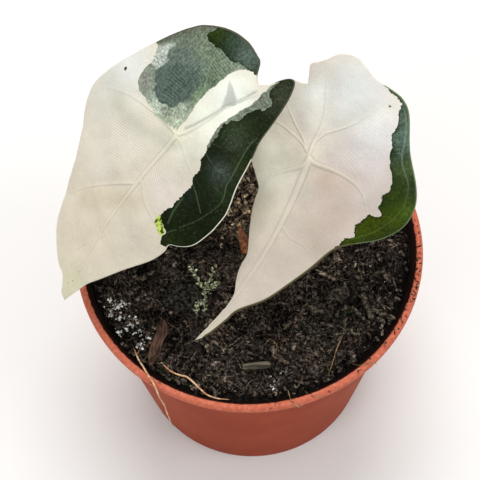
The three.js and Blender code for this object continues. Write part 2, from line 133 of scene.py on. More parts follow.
def build(name, places, faces, material, slot, smooth=True, values=None, colours=None):
    """A mesh object from places in millimetres, with one value or colour per point if given."""
    mesh = bpy.data.meshes.new(name)
    faces = outward(places, faces)
    sides = faces.shape[1]
    mesh.vertices.add(len(places))
    mesh.vertices.foreach_set("co", (places * MM).astype(np.float32).ravel())
    mesh.loops.add(faces.size)
    mesh.loops.foreach_set("vertex_index", faces.astype(np.int32).ravel())
    mesh.polygons.add(len(faces))
    mesh.polygons.foreach_set("loop_start", np.arange(0, faces.size, sides, dtype=np.int32))
    mesh.polygons.foreach_set("use_smooth", np.full(len(faces), smooth))
    mesh.update(calc_edges=True)
    for key, value in (values or {}).items():
        layer = mesh.attributes.new(key, "FLOAT", "POINT")
        layer.data.foreach_set("value", value.astype(np.float32))
    for key, value in (colours or {}).items():
        layer = mesh.attributes.new(key, "FLOAT_COLOR", "POINT")
        layer.data.foreach_set("color", value.astype(np.float32).ravel())
    mesh.materials.append(material)
    item = bpy.data.objects.new(name, mesh)
    bpy.context.scene.collection.objects.link(item)
    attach(item, "root")
    print(name, "has", len(faces) * (sides - 2), "triangles")
    return item


def grid_faces(rows, columns, wrap):
    """Quads between neighbouring rows and columns; the columns close on themselves if wrap."""
    row = np.arange(rows - 1)[:, None] * columns
    column = np.arange(columns if wrap else columns - 1)[None]
    ahead = (column + 1) % columns
    corners = [row + column, row + ahead, row + columns + ahead, row + columns + column]
    return np.stack(corners, -1).reshape(-1, 4)


def split(quads):
    """Two triangles for each quad, without those whose corners fall together."""
    faces = np.concatenate([quads[:, [0, 1, 2]], quads[:, [0, 2, 3]]])
    a, b, c = faces.T
    return faces[(a != b) & (b != c) & (c != a)]


def weld(places, quads, digits=5):
    """Joins places that are the same when rounded to so many digits. Returns the numbers of
    those that stay, and the quads between them as triangles."""
    near = np.round(places, digits)
    _, first, welded = np.unique(near, axis=0, return_index=True, return_inverse=True)
    return first, split(welded.ravel()[quads])


def upright_turns(angles):
    """Rotation matrices about the upright axis: rows (cos, -sin, 0), (sin, cos, 0), (0, 0, 1)."""
    turns = np.zeros((len(angles), 3, 3))
    turns[:, 0, 0] = turns[:, 1, 1] = np.cos(angles)
    turns[:, 0, 1] = -np.sin(angles)
    turns[:, 1, 0] = np.sin(angles)
    turns[:, 2, 2] = 1
    return turns


print("quads in a grid of 3 by 4 points:", len(grid_faces(3, 4, False)))

# %% [markdown]
# ## Shader helpers
# A material is a small network of nodes. The first helper adds a node, sets its constants and
# links its inputs in one line. The others name what is used often, so that each material reads
# like a recipe.
# %% Node helpers


def node(tree, kind, links=None, **settings):
    """Adds a node; settings set its properties, and links sets or connects its inputs."""
    made = tree.nodes.new(kind)
    for key, value in settings.items():
        setattr(made, key, value)
    for key, value in (links or {}).items():
        socket = made.inputs[key]
        if isinstance(value, bpy.types.NodeSocket):
            tree.links.new(value, socket)
        else:
            socket.default_value = value
    return made


def maths(tree, operation, first, second=0.0, third=0.0):
    """One sum, product or other operation on up to three values or sockets."""
    links = {0: first, 1: second, 2: third}
    return node(tree, "ShaderNodeMath", links, operation=operation).outputs[0]


def times(tree, first, second):
    """first times second."""
    return maths(tree, "MULTIPLY", first, second)


def scaled(tree, value, factor, base):
    """factor times the value, plus base."""
    return maths(tree, "MULTIPLY_ADD", value, factor, base)


def swayed(tree, value, wave, swing):
    """The value plus swing times (wave - 0.5), as a noise lies about a half."""
    return scaled(tree, maths(tree, "SUBTRACT", wave, 0.5), swing, value)


def blend(tree, share, first, second, blend_type="MIX"):
    """second over first by share; both are colours or sockets."""
    links = {0: share, 6: first, 7: second}
    made = node(tree, "ShaderNodeMix", links, data_type="RGBA", blend_type=blend_type)
    return made.outputs[2]


def glaze(tree, share, strength, first, second):
    """second over first by share times strength."""
    return blend(tree, times(tree, share, strength), first, second)


def shaded(tree, colour, value):
    """A colour times a value, which is made a grey first."""
    grey = node(tree, "ShaderNodeCombineColor", {0: value, 1: value, 2: value}).outputs[0]
    return blend(tree, 1.0, colour, grey, "MULTIPLY")


def ramp(tree, value, low, high):
    """0 below low, 1 above high, and a soft step between."""
    links = {0: value, 1: low, 2: high, 3: 0.0, 4: 1.0}
    made = node(tree, "ShaderNodeMapRange", links, interpolation_type="SMOOTHSTEP")
    return made.outputs[0]


def fall(tree, value, low, high):
    """1 below low, 0 above high: one less the ramp."""
    return maths(tree, "SUBTRACT", 1.0, ramp(tree, value, low, high))


def noise(tree, scale, detail=3.0, rough=0.55, stretch=None):
    """A noise pattern in the object's own metres, about 1 / scale metres a patch."""
    place = node(tree, "ShaderNodeTexCoord").outputs["Object"]
    if stretch:
        place = node(tree, "ShaderNodeMapping", {0: place, 3: stretch}).outputs[0]
    links = {"Vector": place, "Scale": scale, "Detail": detail, "Roughness": rough}
    return node(tree, "ShaderNodeTexNoise", links).outputs["Fac"]


def attribute(tree, name, output="Fac"):
    """A value, or with output "Color" a colour, that is stored on the piece's points."""
    return node(tree, "ShaderNodeAttribute", attribute_name=name).outputs[output]


print("node helpers are ready")

# %% [markdown]
# ## Materials and shared effects
# An effect that several materials share is a node group: it is worked out once, and each
# material that uses it hands over its own colours. The group gives back a colour, a roughness
# and a normal, and the shader itself stays in the material.
# %% Materials and groups


def material(name, **constants):
    """Starts a material with a Principled BSDF, whose constants are set on its own sockets."""
    made = bpy.data.materials.new(name)
    made.use_nodes = True
    tree = made.node_tree
    shader = tree.nodes["Principled BSDF"]
    for key, value in constants.items():
        shader.inputs[key.replace("_", " ")].default_value = value
    return made, tree, shader


def bump(tree, height, distance):
    """A normal bent by a height, of which a value of one stands distance metres high."""
    links = {"Height": height, "Distance": distance, "Strength": 1.0}
    return node(tree, "ShaderNodeBump", links).outputs[0]


def dress(tree, sockets, colour, roughness, normal, colour_name="Base Color"):
    """Links the three results of a recipe to a shader, or to the outputs of a group."""
    for name, value in ((colour_name, colour), ("Roughness", roughness), ("Normal", normal)):
        tree.links.new(value, sockets[name])


def group(name, wanted):
    """An empty shader node group that takes the wanted sockets and gives a colour, a roughness
    and a normal. Returns the group, the sockets that feed it and those that it fills."""
    made = bpy.data.node_groups.new(name, "ShaderNodeTree")
    given = {"Colour": "NodeSocketColor", "Roughness": "NodeSocketFloat", "Normal": "NodeSocketVector"}
    for label, kind in wanted.items():
        made.interface.new_socket(name=label, in_out="INPUT", socket_type=kind)
    for label, kind in given.items():
        made.interface.new_socket(name=label, in_out="OUTPUT", socket_type=kind)
    return made, made.nodes.new("NodeGroupInput").outputs, made.nodes.new("NodeGroupOutput").inputs


def skinned(name, effect, shine, **links):
    """A material whose colour, roughness and normal come from a shared group."""
    made, tree, shader = material(name, Specular_IOR_Level=shine)
    given = node(tree, "ShaderNodeGroup", links, node_tree=effect).outputs
    dress(tree, shader.inputs, given["Colour"], given["Roughness"], given["Normal"])
    return made


print("materials so far:", len(bpy.data.materials))

# %% [markdown]
# ## The leaves' plan
# A leaf is drawn flat first, as one would cut it from paper: the joint with its stalk is the
# origin, x runs across and y runs down the midrib to the tip. The outline is two curves, left
# and right, from the tip to the notch between the back lobes. The ribs are drawn on the same
# plan. The numbers are in millimetres.
# %% Left leaf
LEFT_LEAF = {
    "joint": (-20.4, 5.4, 165), "tip": (-60.7, -24.4, 112), "side": (0.556, -0.83, 0.045),
    "bow": -2.4, "arch": 2.5, "folds": ((-1, 0, 0.18, 6), (1, 6, 0.55, 8)),
    "left": (
        (0, 73.2), (-2.6, 72.4), (-4.4, 69.6), (-6.6, 67.2), (-9.6, 66.6), (-12.7, 65), (-16.4, 62),
        (-21, 56), (-24.6, 46), (-28.8, 35.5), (-33.2, 28.2), (-38.8, 21), (-41, 14.6), (-39, 6.5),
        (-35.5, -1.2), (-30.6, -11), (-27.5, -17), (-23.5, -23), (-19.4, -27.4), (-11.7, -32.2),
        (-3.3, -34.5), (3, -33.9), (5.2, -33), (7.3, -30), (9.6, -28.4),
    ),
    "right": (
        (0, 73.2), (2.4, 66), (4.3, 61), (7.5, 55.3), (11.6, 47.4), (15.4, 40.5), (17.3, 36.6),
        (18.6, 32.2), (18.6, 29.2), (20.9, 27.6), (22.9, 25.7), (24.3, 23), (25.7, 17.4), (26, 14.2),
        (25.9, 9.2), (24.8, 3.7), (23.3, -2.9), (21.9, -9.8), (20.5, -16.5), (19.6, -25),
        (18.3, -31.8), (16.7, -35.6), (14.9, -35.6), (13.2, -33.3), (11.6, -30.2), (9.6, -28.4),
    ),
    "ribs": (
        ((0, 0), (-10.5, 2), (-23.5, 5.5), (-31.5, 9.5), (-39.5, 15)),
        ((-2, 22), (-10.5, 30.5), (-17, 38), (-23, 47)),
        ((-1.6, 45), (-6, 54), (-9, 63)),
        ((0, 0), (5.5, 2.5), (10, 4.5), (18, 8), (25, 13)),
        ((-1.8, 20), (6, 24), (11, 26), (15.5, 29), (18, 34)),
        ((0, 0), (-1.5, -3), (-2.2, -9), (-4, -16), (-7.5, -21), (-9, -30)),
        ((0, 0), (1.5, -2.5), (4, -9.3), (5.6, -15.2), (8.5, -21), (14, -31)),
    ),
    "widths": (0.95, 0.7, 0.6, 0.35, 0.45, 0.5, 0.6, 0.7),
    "forces": (1.0, 0.85, 0.75, 0.25, 0.3, 0.45, 0.7, 0.9),
    "veins": (
        ((13.5, 7.7), (15.8, 9.3), (19, 12.3), (20.4, 13.6)),
        ((13.9, 13.3), (14, 18.5), (14.7, 23.2)),
        ((19.4, -16.3), (19.1, -13.2), (19.8, -7.3), (20.9, -2.2), (21.5, 1.7), (22.6, 4.4), (22.9, 7.8),
         (22.6, 9.6), (21, 16), (18, 22)),
        ((9, -6), (13, -7), (17, -11), (19.2, -15)),
        ((10.5, -3), (14, -1.5), (18, -1.2), (20.8, -2.5)),
        ((15.9, 26.7), (16.8, 24.6), (17.7, 23.4)),
    ),
    "vein_widths": (0.32, 0.5, 0.3, 0.2, 0.2, 0.3),
}
print("left leaf outline points:", len(LEFT_LEAF["left"]) + len(LEFT_LEAF["right"]) - 2)

# %% [markdown]
# ## The right leaf's plan
# The right leaf is drawn the same way. It hangs more steeply and its midrib bends to the other
# side. Its joint, tip and sideways direction are places and directions in space, which turn the
# flat plan into a leaf that hangs over the pot.
# %% Right leaf
RIGHT_LEAF = {
    "joint": (19.4, 1.6, 155), "tip": (-18.4, -38.3, 108), "side": (0.833, -0.493, -0.251),
    "bow": 4, "arch": 3, "folds": ((-1, 0, 0.75, 4), (1, 0, 0.12, 6), (1, 20, 0.9, 5)),
    "left": (
        (0, 72.4), (0.6, 68.6), (2, 62.5), (2.7, 57), (2.7, 50.8), (1.2, 47), (0.1, 43.9),
        (-0.4, 40.5), (-0.5, 37.4), (-1.5, 35), (-4, 30.6), (-6.3, 25.6), (-7.7, 21.6), (-8.6, 18),
        (-11.2, 15.8), (-15, 13.2), (-18.6, 10.4), (-21, 6), (-22, 0), (-21.8, -6), (-20.4, -11.4),
        (-18.2, -14.6), (-16, -15.6), (-14.2, -16.2), (-12.6, -17.2),
    ),
    "right": (
        (0, 72.4), (3, 67.8), (5.4, 60.1), (6.9, 54.8), (12.9, 45.8), (18.7, 30.9), (21.9, 21),
        (26.1, 16.4), (32.8, 12.4), (37.2, 6.8), (37.4, 0.4), (34, -6.4), (25.4, -16.8),
        (19.1, -26.3), (14.8, -29.4), (10.2, -30.1), (4.5, -30.2), (0.1, -31.8), (-4.3, -32.5),
        (-9, -30.2), (-11.7, -26.4), (-13.6, -24.2), (-15.2, -22.4), (-14.1, -20), (-12.6, -17.2),
    ),
    "ribs": (
        ((0, 1), (-1, 3.7), (-5.6, 9.7), (-7.4, 13.3), (-7, 17.6), (-4.7, 23.4)),
        ((0, 0), (2.8, 0.4), (12, -0.6), (19.4, 0.8), (24.7, 6), (28, 12)),
        ((-0.6, -1.5), (-1.1, -4.9), (0.1, -8.7), (3.3, -12.2), (6.7, -16.6), (9, -21.4), (11.5, -25.9)),
        ((-0.8, -1), (-1.6, -5), (-1.9, -9), (-3.8, -14.6), (-6.8, -19.3), (-8.8, -23)),
        ((-2, -1.4), (-4.5, -3.3), (-9.7, -5.4), (-14.2, -7.9), (-21, -12)),
        ((-2, -1.4), (-4.2, -2.2), (-8.6, -2.4), (-14, -2), (-23, 0.5)),
        ((4.4, 23), (8.1, 24.6), (13.3, 24.6), (18, 27)),
    ),
    "widths": (1.15, 0.75, 0.85, 0.5, 0.6, 0.45, 0.45, 0.4),
    "forces": (0.9, 0.8, 0.9, 0.8, 0.8, 0.6, 0.6, 0.4),
    "veins": (
        ((13.7, -29), (17.3, -26.7), (20.8, -21.6), (25, -12.8), (31.2, -6.3), (33.5, 2), (30, 10),
         (24.5, 15)),
        ((26.6, -1), (29, -3), (31.4, -5.6)),
        ((27.5, 5), (30, 5.5), (32.8, 4)),
        ((20.5, -14), (23, -15), (24.6, -13.6)),
    ),
    "vein_widths": (0.4, 0.25, 0.25, 0.25),
}
print("right leaf outline points:", len(RIGHT_LEAF["left"]) + len(RIGHT_LEAF["right"]) - 2)

# %% [markdown]
# ## From the plan to a surface
# Lines run from the midrib to the margin, the way a leaf's side nerves do, and points are set
# along each line. That gives a grid that follows the outline exactly. A leaf could also be a
# flat sheet bent by modifiers, but then its outline would be hard to hold to the photo.
# The height over the plan is a long arch, less a soft slope for each fold beside the midrib.
# %% Leaf surface


def unit(vector):
    """The same direction with a length of one."""
    vector = np.asarray(vector, float)
    return vector / np.linalg.norm(vector)


def leaf_axes(leaf):
    """Joint, across, along and up of the leaf, and its length from joint to tip."""
    joint, tip = np.array(leaf["joint"], float), np.array(leaf["tip"], float)
    along = unit(tip - joint)
    side = np.array(leaf["side"], float)
    across = unit(side - side @ along * along)
    return joint, across, along, np.cross(along, across), float(np.linalg.norm(tip - joint))


def midrib(leaf, y):
    """Sideways place of the midrib: bow times 4 p (1 - p), with p the share of the length."""
    share = np.clip(y / leaf_axes(leaf)[4], 0, 1)
    return leaf["bow"] * 4 * share * (1 - share)


def leaf_height(leaf, x, y):
    """arch times 4 p (1 - p), less slope times (root(b b + e e) - e) for each fold, where b is
    how far the point lies beyond the fold's line and e is how softly the fold starts."""
    share = y / leaf_axes(leaf)[4]
    height = leaf["arch"] * 4 * share * (1 - share)
    across = x - midrib(leaf, y)
    for sign, start, slope, ease in leaf["folds"]:
        beyond = np.maximum(0, sign * across - start)
        height = height - slope * (np.sqrt(beyond**2 + ease**2) - ease)
    return height


# The cross lines start below this share of the midrib, and for each millimetre that they run
# sideways they run this far to the tip.
TIP_REACH, VEIN_SLANT = 0.97, 0.6
# Points on a fine margin, lines along the midrib, lines round a back lobe, steps on each line.
FINE, STATIONS, LOBE_LINES, STEPS = 2400, 196, 104, 74


def half_lines(leaf, margin):
    """Foot on the midrib and end on the margin of each cross line in one half of the leaf. The
    foot is nearer the joint than the end by a slant, and never turns back along the margin."""
    top = TIP_REACH * leaf_axes(leaf)[4]
    fine = smooth_line(margin, FINE)
    slant = fine[:, 1] - VEIN_SLANT * np.abs(fine[:, 0] - midrib(leaf, fine[:, 1]))
    foot = np.minimum.accumulate(np.clip(slant, 0, top))
    start = int(np.argmax(foot <= 0))
    even = 0.85 * foot[: start + 1] + 0.15 * top * (1 - np.arange(start + 1) / start)
    wanted = top * (1 - np.arange(STATIONS) / STATIONS)
    at = np.interp(-wanted, -even, np.arange(start + 1))
    at = np.concatenate([at, np.linspace(start, FINE, LOBE_LINES + 1)])
    ends = np.stack([np.interp(at, np.arange(FINE + 1), axis) for axis in fine.T], 1)
    foot_y = np.concatenate([wanted, np.zeros(LOBE_LINES + 1)])
    return np.stack([midrib(leaf, foot_y), foot_y], 1), ends


def plan_lines(leaf):
    """Cross lines of the whole leaf, from the tip round by the left side and back."""
    feet, ends = half_lines(leaf, leaf["left"])
    right_feet, right_ends = half_lines(leaf, leaf["right"])
    feet = np.concatenate([feet, right_feet[-2:0:-1]])
    return feet, np.concatenate([ends, right_ends[-2:0:-1]])


for leaf_plan in (LEFT_LEAF, RIGHT_LEAF):
    print("cross lines:", len(plan_lines(leaf_plan)[0]), "length", round(leaf_axes(leaf_plan)[4], 1))

# %% [markdown]
# ## Distances on the plan
# Markings, ribs and the thin rim all follow from distances: to a rib's line, to the margin, and
# to the border of each coloured patch. They are worked out once for every point of the leaf and
# stored on it, so the material only has to compare them with a width.
# %% Distance fields


def line_distance(points, line):
    """Distance from each point to a line of straight pieces, and how far along it that is."""
    line = np.asarray(line, float)
    best, place, run = np.full(len(points), 1e9), np.zeros(len(points)), 0.0
    for a, b in zip(line[:-1], line[1:]):
        step = b - a
        part = np.clip(((points - a) @ step) / (step @ step), 0, 1)
        gap = np.linalg.norm(points - a - part[:, None] * step, axis=1)
        place = np.where(gap < best, run + part * np.linalg.norm(step), place)
        best = np.minimum(best, gap)
        run += np.linalg.norm(step)
    return best, place


def inside(points, outline):
    """Whether each point is inside a closed outline: a ray from it crosses the border oddly."""
    outline = np.asarray(outline, float)
    x, y = points.T
    odd = np.zeros(len(points), bool)
    for (x0, y0), (x1, y1) in zip(outline, np.roll(outline, -1, axis=0)):
        if y0 != y1:
            crosses = (y0 > y) != (y1 > y)
            odd ^= crosses & (x < (x1 - x0) * (y - y0) / (y1 - y0) + x0)
    return odd


def patch_depth(points, outline):
    """How deep each point lies inside a patch, and negative outside it, in millimetres."""
    closed = np.concatenate([outline, outline[:1]])
    gap = line_distance(points, closed)[0]
    return np.where(inside(points, outline), gap, -gap)


def washes(points, base, spots):
    """A screen colour with soft round washes over it. Each wash is x, y, radius, strength and
    colour, and its share is strength times exp(-(distance / radius)^2)."""
    result = np.tile(np.array(paint(*base)), (len(points), 1))
    for x, y, radius, strength, tone in spots:
        share = strength * np.exp(-(((points - (x, y)) ** 2).sum(1)) / radius**2)
        result += share[:, None] * (np.array(paint(*tone)) - result)
    return result


SQUARE = np.array(((0, 0), (10, 0), (10, 10), (0, 10)), float)
print("3 mm from the border of a square the depth is", patch_depth(np.array([(5.0, 3.0)]), SQUARE)[0])

# %% [markdown]
# ## Leaf markings
# The white of a variegated leaf is skin without green. Beside it lie grey-green skin, where
# green shows through a white upper layer, and full dark green. Each kind has crisp, ragged
# borders. The outlines below are drawn on the same plan, and run out past the margin
# where a patch reaches it.
# %% Outlines of the patches
SAGE = (
    (-29.9, -11.7), (-28.6, -11.3), (-27, -8.6), (-26.2, -6.9), (-26.9, -3.8), (-26.8, -1.2),
    (-25.8, 1.6), (-23.3, 2.5), (-19.8, 2.4), (-16, 2.9), (-11.7, 2.7), (-6.3, 1.2), (-2, -0.3),
    (-1.1, -1.1), (-1.2, -5), (-2.1, -9.4), (-2.1, -12), (-1.9, -16.5), (-0.6, -18.9),
    (-0.7, -21.4), (0.4, -25.4), (1.6, -27.2), (3.7, -29.1), (5.8, -29.7), (7.6, -29.8),
    (8, -45), (-30, -45), (-48, -22),
)
PALE = (
    (-28.7, -11.6), (-24.2, -16.3), (-23.4, -16), (-24.2, -13.3), (-22.9, -11.5), (-21.5, -11.5),
    (-22, -7.8), (-23.3, -6.7), (-26.6, -6), (-26.9, -8.2),
)
BLUE_PATCH = (
    (-21.9, -8), (-22.4, -5.9), (-20.5, -3.9), (-18.7, -4.1), (-19.3, -1.4), (-17, -0.3),
    (-14.1, -1), (-10.5, -2), (-8.1, -4.1), (-6.3, -7), (-5.2, -9.3), (-6, -12.5), (-6, -15.1),
    (-9, -17.3), (-13.3, -16.3), (-18.5, -13.1), (-20.4, -10.2),
)
LOBE_DARK = (
    (-16.6, -31), (-14.8, -29.5), (-16.2, -26.6), (-14.5, -25.6), (-10.5, -25.8), (-9.3, -26.9),
    (-6.4, -26.8), (-3, -27.2), (-0.2, -28.3), (1.9, -29.3), (3.6, -29.2), (5.8, -29.7),
    (7.6, -29.8), (9, -45), (-16, -45),
)
BLUE_HAZE = (
    (-25.4, -14.7), (-23.4, -17.2), (-16.5, -20), (-9, -20.5), (-6, -16), (-7.5, -8), (-12, -4),
    (-22, -6),
)
GREY_WEDGE = (
    (1.4, -23.1), (4.3, -22.5), (7.5, -20.6), (8.2, -18.9), (6.3, -17.1), (5.1, -14.8), (3.8, -19.7),
)
WEDGE_SHADE = ((0.6, -3.2), (1.8, -5.4), (4.6, -12.4), (6.2, -17.4), (8.4, -21), (10.4, -26.4))
# Painted shade along a line on the white, beside two ribs and along the fold by the wedge:
# the line, its reach, its colour and its strength.
LEFT_SHADES = (
    (WEDGE_SHADE, 0.5, (150, 156, 144), 0.6),
    (((-28, 11), (-20, 10.5), (-12, 8), (-5, 5)), 3.6, (190, 188, 172), 0.7),
    (((-15, 41), (-8, 34.5), (-3, 30), (3, 25.5)), 3.2, (198, 188, 164), 0.65),
)
STRIP_GREY = (
    (13.2, -34), (12.4, -30.4), (12.3, -27.8), (12.3, -25), (11.8, -22.2), (10.5, -18.5),
    (9.5, -14.6), (8.9, -11.8), (8.9, -9.2), (9.6, -6.4), (10.1, -4.5), (10.6, -3.9), (11.1, -2.5),
    (30, 0), (40, -45), (13, -45),
)
STRIP_DARK = (
    (13.7, -34), (13.3, -31.7), (13.4, -29), (14.3, -27.7), (15.4, -27.6), (16.3, -26.3),
    (15.5, -23.9), (13.2, -21.6), (12.8, -20.1), (12.5, -18.1), (12, -16.2), (10.6, -14.9),
    (9.9, -12.7), (9.9, -10.6), (10.7, -8.7), (10.5, -6.3), (10.6, -3.9), (11.1, -2.5),
    (11.1, -0.7), (11.9, 1.1), (12.6, 3.4), (12.7, 5.9), (13.6, 7.6), (13.5, 10.7), (13.7, 13.5),
    (12.9, 15.8), (13.2, 17.7), (12.4, 19.6), (11.7, 23), (12.4, 23.8), (14.1, 25.4), (15.6, 26.2),
    (15.4, 27.9), (15.3, 28.7), (15.9, 29.8), (16.8, 30.9), (17.8, 30.3), (32, 34), (45, 0),
    (45, -45), (14, -45),
)
LIME = (
    (11.7, 23), (11.1, 23), (11.4, 23.8), (10.9, 25.1), (11.1, 26.3), (12.9, 27.2), (13.9, 28.2),
    (15.3, 28.7), (15.4, 27.9), (15.6, 26.2), (14.1, 25.4), (12.4, 23.8),
)
RIGHT_GREEN = (
    (9.7, -29.6), (12.6, -29.3), (15.3, -28), (15.8, -25.4), (17.4, -22.3), (17.8, -18.5),
    (19.7, -15.6), (20.9, -12.7), (23.8, -8.6), (25.6, -6.8), (26.6, -3.3), (25.8, -0.7),
    (26.5, 3.3), (29.1, 4.7), (27.7, 6.1), (25.2, 6.1), (24.9, 7.8), (23.3, 10.4), (24.6, 14.2),
    (22.7, 15.9), (21.8, 19.8), (30, 30), (55, 20), (55, -20), (25, -40), (10, -40),
)
print("points on the border of the green strips:", len(STRIP_DARK), "and", len(RIGHT_GREEN))

# %% [markdown]
# ## Relief of a leaf
# Each rib lies in a wide shallow valley, so the skin between the ribs puffs up a little, and the
# rib itself is a low round cord in the valley. From the underside the ribs stand out like the
# veins of a hand, because they carry the blade. The blade is thickest in the middle and ends in
# a rounded rim.
# %% Rib fields
# Half the thickness in the middle and at the rim, and the reach of the valley beside a rib.
BLADE_HALF, RIM_HALF, VALLEY_REACH = 0.40, 0.24, 3.6


def rib_fields(leaf, points):
    """Three fields over the plan. share: the distance to the nearest rib over that rib's own
    half width, which narrows to 0.3 at its end. force: how bold that rib is there. valley: one
    less the product of (1 - bell) over all ribs, where a bell is the rib's boldness times
    exp(-(distance / VALLEY_REACH)^2)."""
    y = np.linspace(0, leaf_axes(leaf)[4], 40)
    lines = [np.stack([midrib(leaf, y), y], 1)] + [np.array(r, float) for r in leaf["ribs"]]
    share, force, flat = np.full(len(points), 1e9), np.zeros(len(points)), np.ones(len(points))
    for line, width, strength in zip(lines, leaf["widths"], leaf["forces"]):
        gap, run = line_distance(points, smooth_line(line, 30))
        left = 1 - run / np.linalg.norm(np.diff(line, axis=0), axis=1).sum()
        narrowing = 0.3 + 0.7 * left
        near = gap / (width * narrowing)
        bold = strength * narrowing
        force = np.where(near < share, bold, force)
        share = np.minimum(share, near)
        flat *= 1 - bold * np.exp(-((gap / VALLEY_REACH) ** 2))
    return share, force, 1 - flat


def vein_field(leaf, points):
    """Distance to the nearest of the small light veins over that vein's half width."""
    shares = [line_distance(points, smooth_line(line, 24))[0] / width
              for line, width in zip(leaf["veins"], leaf["vein_widths"])]
    return np.minimum.reduce(shares)


def nerve_count(leaf, points):
    """A count that rises by one millimetre from nerve to nerve: y less a slant beside the
    midrib, and behind the joint minus the root of (0.35 x)^2 + y^2, so that the nerves there
    run in arcs across the back lobes."""
    x, y = points.T
    aside = 0.35 * np.abs(x - midrib(leaf, y))
    return np.where(y > 0, y - aside, -np.sqrt(aside**2 + y**2))


print("a blade is", 2 * BLADE_HALF, "mm thick at the midrib and", 2 * RIM_HALF, "at the rim")

# %% [markdown]
# ## One closed blade
# Every cross line is carried over the top of the leaf, round its rim and back along the
# underside, so that the blade is one closed skin with real thickness. Points that fall together
# on the midrib and at the joint are welded. A flat sheet with a thickness modifier would be
# shorter to write, but the underside would then repeat the top, and a leaf's doesn't.
# %% Build a blade
# Heights of the cord on top, of the valley and of the cord below, and how far from the margin
# and from the joint they have their full height.
CORD, VALLEY, CORD_BELOW, MARGIN_FADE, JOINT_CALM = 0.22, 1.6, 0.7, 5.0, 5.0


def blade_rings(leaf):
    """Plan places and half thickness along every cross line: over the top from the midrib,
    round the rim in three turns, and back along the underside."""
    feet, ends = plan_lines(leaf)
    tangent = np.roll(ends, -1, axis=0) - np.roll(ends, 1, axis=0)
    out = np.stack([tangent[:, 1], -tangent[:, 0]], 1)
    out /= np.linalg.norm(out, axis=1)[:, None]
    out *= np.sign(((ends - feet) * out).sum(1))[:, None]
    part = np.linspace(0, 1, STEPS + 1)[None, :, None]
    inset = ends - out * RIM_HALF
    plan = feet[:, None] * (1 - part) + inset[:, None] * part
    rim_turn = np.radians([45, 90, 135])
    rim = inset[:, None] + out[:, None] * (RIM_HALF * np.sin(rim_turn))[None, :, None]
    rim_lift = np.tile(RIM_HALF * np.cos(rim_turn), (len(ends), 1))
    half = BLADE_HALF + (RIM_HALF - BLADE_HALF) * part[..., 0] ** 2 + np.zeros(plan.shape[:2])
    ring = np.concatenate([plan, rim, plan[:, ::-1]], 1)
    return ring, np.concatenate([half, rim_lift, -half[:, ::-1]], 1)


def relief(leaf, flat, below, ribs, to_margin):
    """The leaf's height plus its relief, which fades to the margin: a cord exp(-share^2) on each
    rib less the valleys, then slow and fine lumps, and on the underside a cord that hangs."""
    share, force, valley = ribs
    x, y = flat.T
    fade = np.clip(to_margin / MARGIN_FADE, 0, 1) ** 0.7
    near_joint = np.exp(-((x**2 + y**2) / JOINT_CALM**2))
    height = leaf_height(leaf, x, y)
    height += fade * (CORD * force * np.exp(-(share**2)) - VALLEY * valley * (1 - near_joint))
    height += 0.38 * value_noise(x, y, 8.0, 5) + 0.08 * value_noise(x, y, 2.4, 6)
    hanging = -fade * CORD_BELOW * force * np.exp(-((share / 0.9) ** 2))
    return height + np.where(below, hanging, 0.0)


def blade(name, leaf, skin, paint_leaf):
    """The closed skin of a leaf, lifted from its plan into space. Each point stores the fields
    that the material reads."""
    joint, across, along, up, _ = leaf_axes(leaf)
    ring, lift = blade_rings(leaf)
    lines, columns = ring.shape[:2]
    flat, lift = ring.reshape(-1, 2), lift.ravel()
    x, y = flat.T
    ribs = rib_fields(leaf, flat)
    to_margin = line_distance(flat, smooth_line(leaf["left"] + leaf["right"][-2::-1], 400))[0]
    height = relief(leaf, flat, lift < 0, ribs, to_margin)
    places = joint + x[:, None] * across + y[:, None] * along + (height + lift)[:, None] * up
    first, faces = weld(places, grid_faces(lines + 1, columns, False) % len(flat), 4)
    points = flat[first]
    values, colours = paint_leaf(points, to_margin[first])
    values |= {"rib": ribs[0][first], "force": ribs[1][first], "under": (lift[first] < 0) * 1.0}
    values |= {"nerve": nerve_count(leaf, points), "vein": vein_field(leaf, points)}
    return build(name, places[first], faces, skin, "blade", values=values, colours=colours)


print("points round one cross line:", 2 * (STEPS + 1) + 3)

# %% [markdown]
# ## Nerves and ribs in the skin
# One material serves both leaves. Fine nerves run out from the ribs as faint stripes, each rib
# has a light core between two flanks with painted shade, and the borders of the patches are frayed by noise.
# These parts of the recipe come first.
# %% Nerves, ribs and borders
BORDER, NERVE_GAP = 0.05, 0.86


def frayed(tree, name, fray):
    """1 inside a patch: its depth, moved by the fray noise, passes zero."""
    depth = maths(tree, "ADD", attribute(tree, name), fray)
    return ramp(tree, depth, -BORDER, BORDER)


def nerve_stripes(tree):
    """Fine stripes across the leaf: the sine of the nerve count, one wave in NERVE_GAP
    millimetres, bent and dimmed here and there by noise."""
    wobble = times(tree, noise(tree, 330.0, 2.0), 0.5)
    count = maths(tree, "ADD", attribute(tree, "nerve"), wobble)
    wave = maths(tree, "SINE", times(tree, count, 6.2832 / NERVE_GAP))
    clouds = ramp(tree, noise(tree, 110.0, 1.0), 0.3, 0.7)
    return times(tree, wave, times(tree, clouds, attribute(tree, "combed")))


def rib_bands(tree):
    """The light core of a rib, the painted shade on its flanks, and its raised cord, 4 exp(-1.4 rib^2),
    each times the rib's force."""
    rib, force = attribute(tree, "rib"), attribute(tree, "force")
    core = times(tree, fall(tree, rib, 0.3, 1.0), force)
    beside = maths(tree, "ABSOLUTE", maths(tree, "SUBTRACT", rib, 1.0))
    flank = times(tree, fall(tree, beside, 0.0, 0.4), force)
    cord = maths(tree, "EXPONENT", times(tree, times(tree, rib, rib), -1.4))
    return core, flank, times(tree, times(tree, cord, force), 4.0)


print("nerves every", NERVE_GAP, "mm")
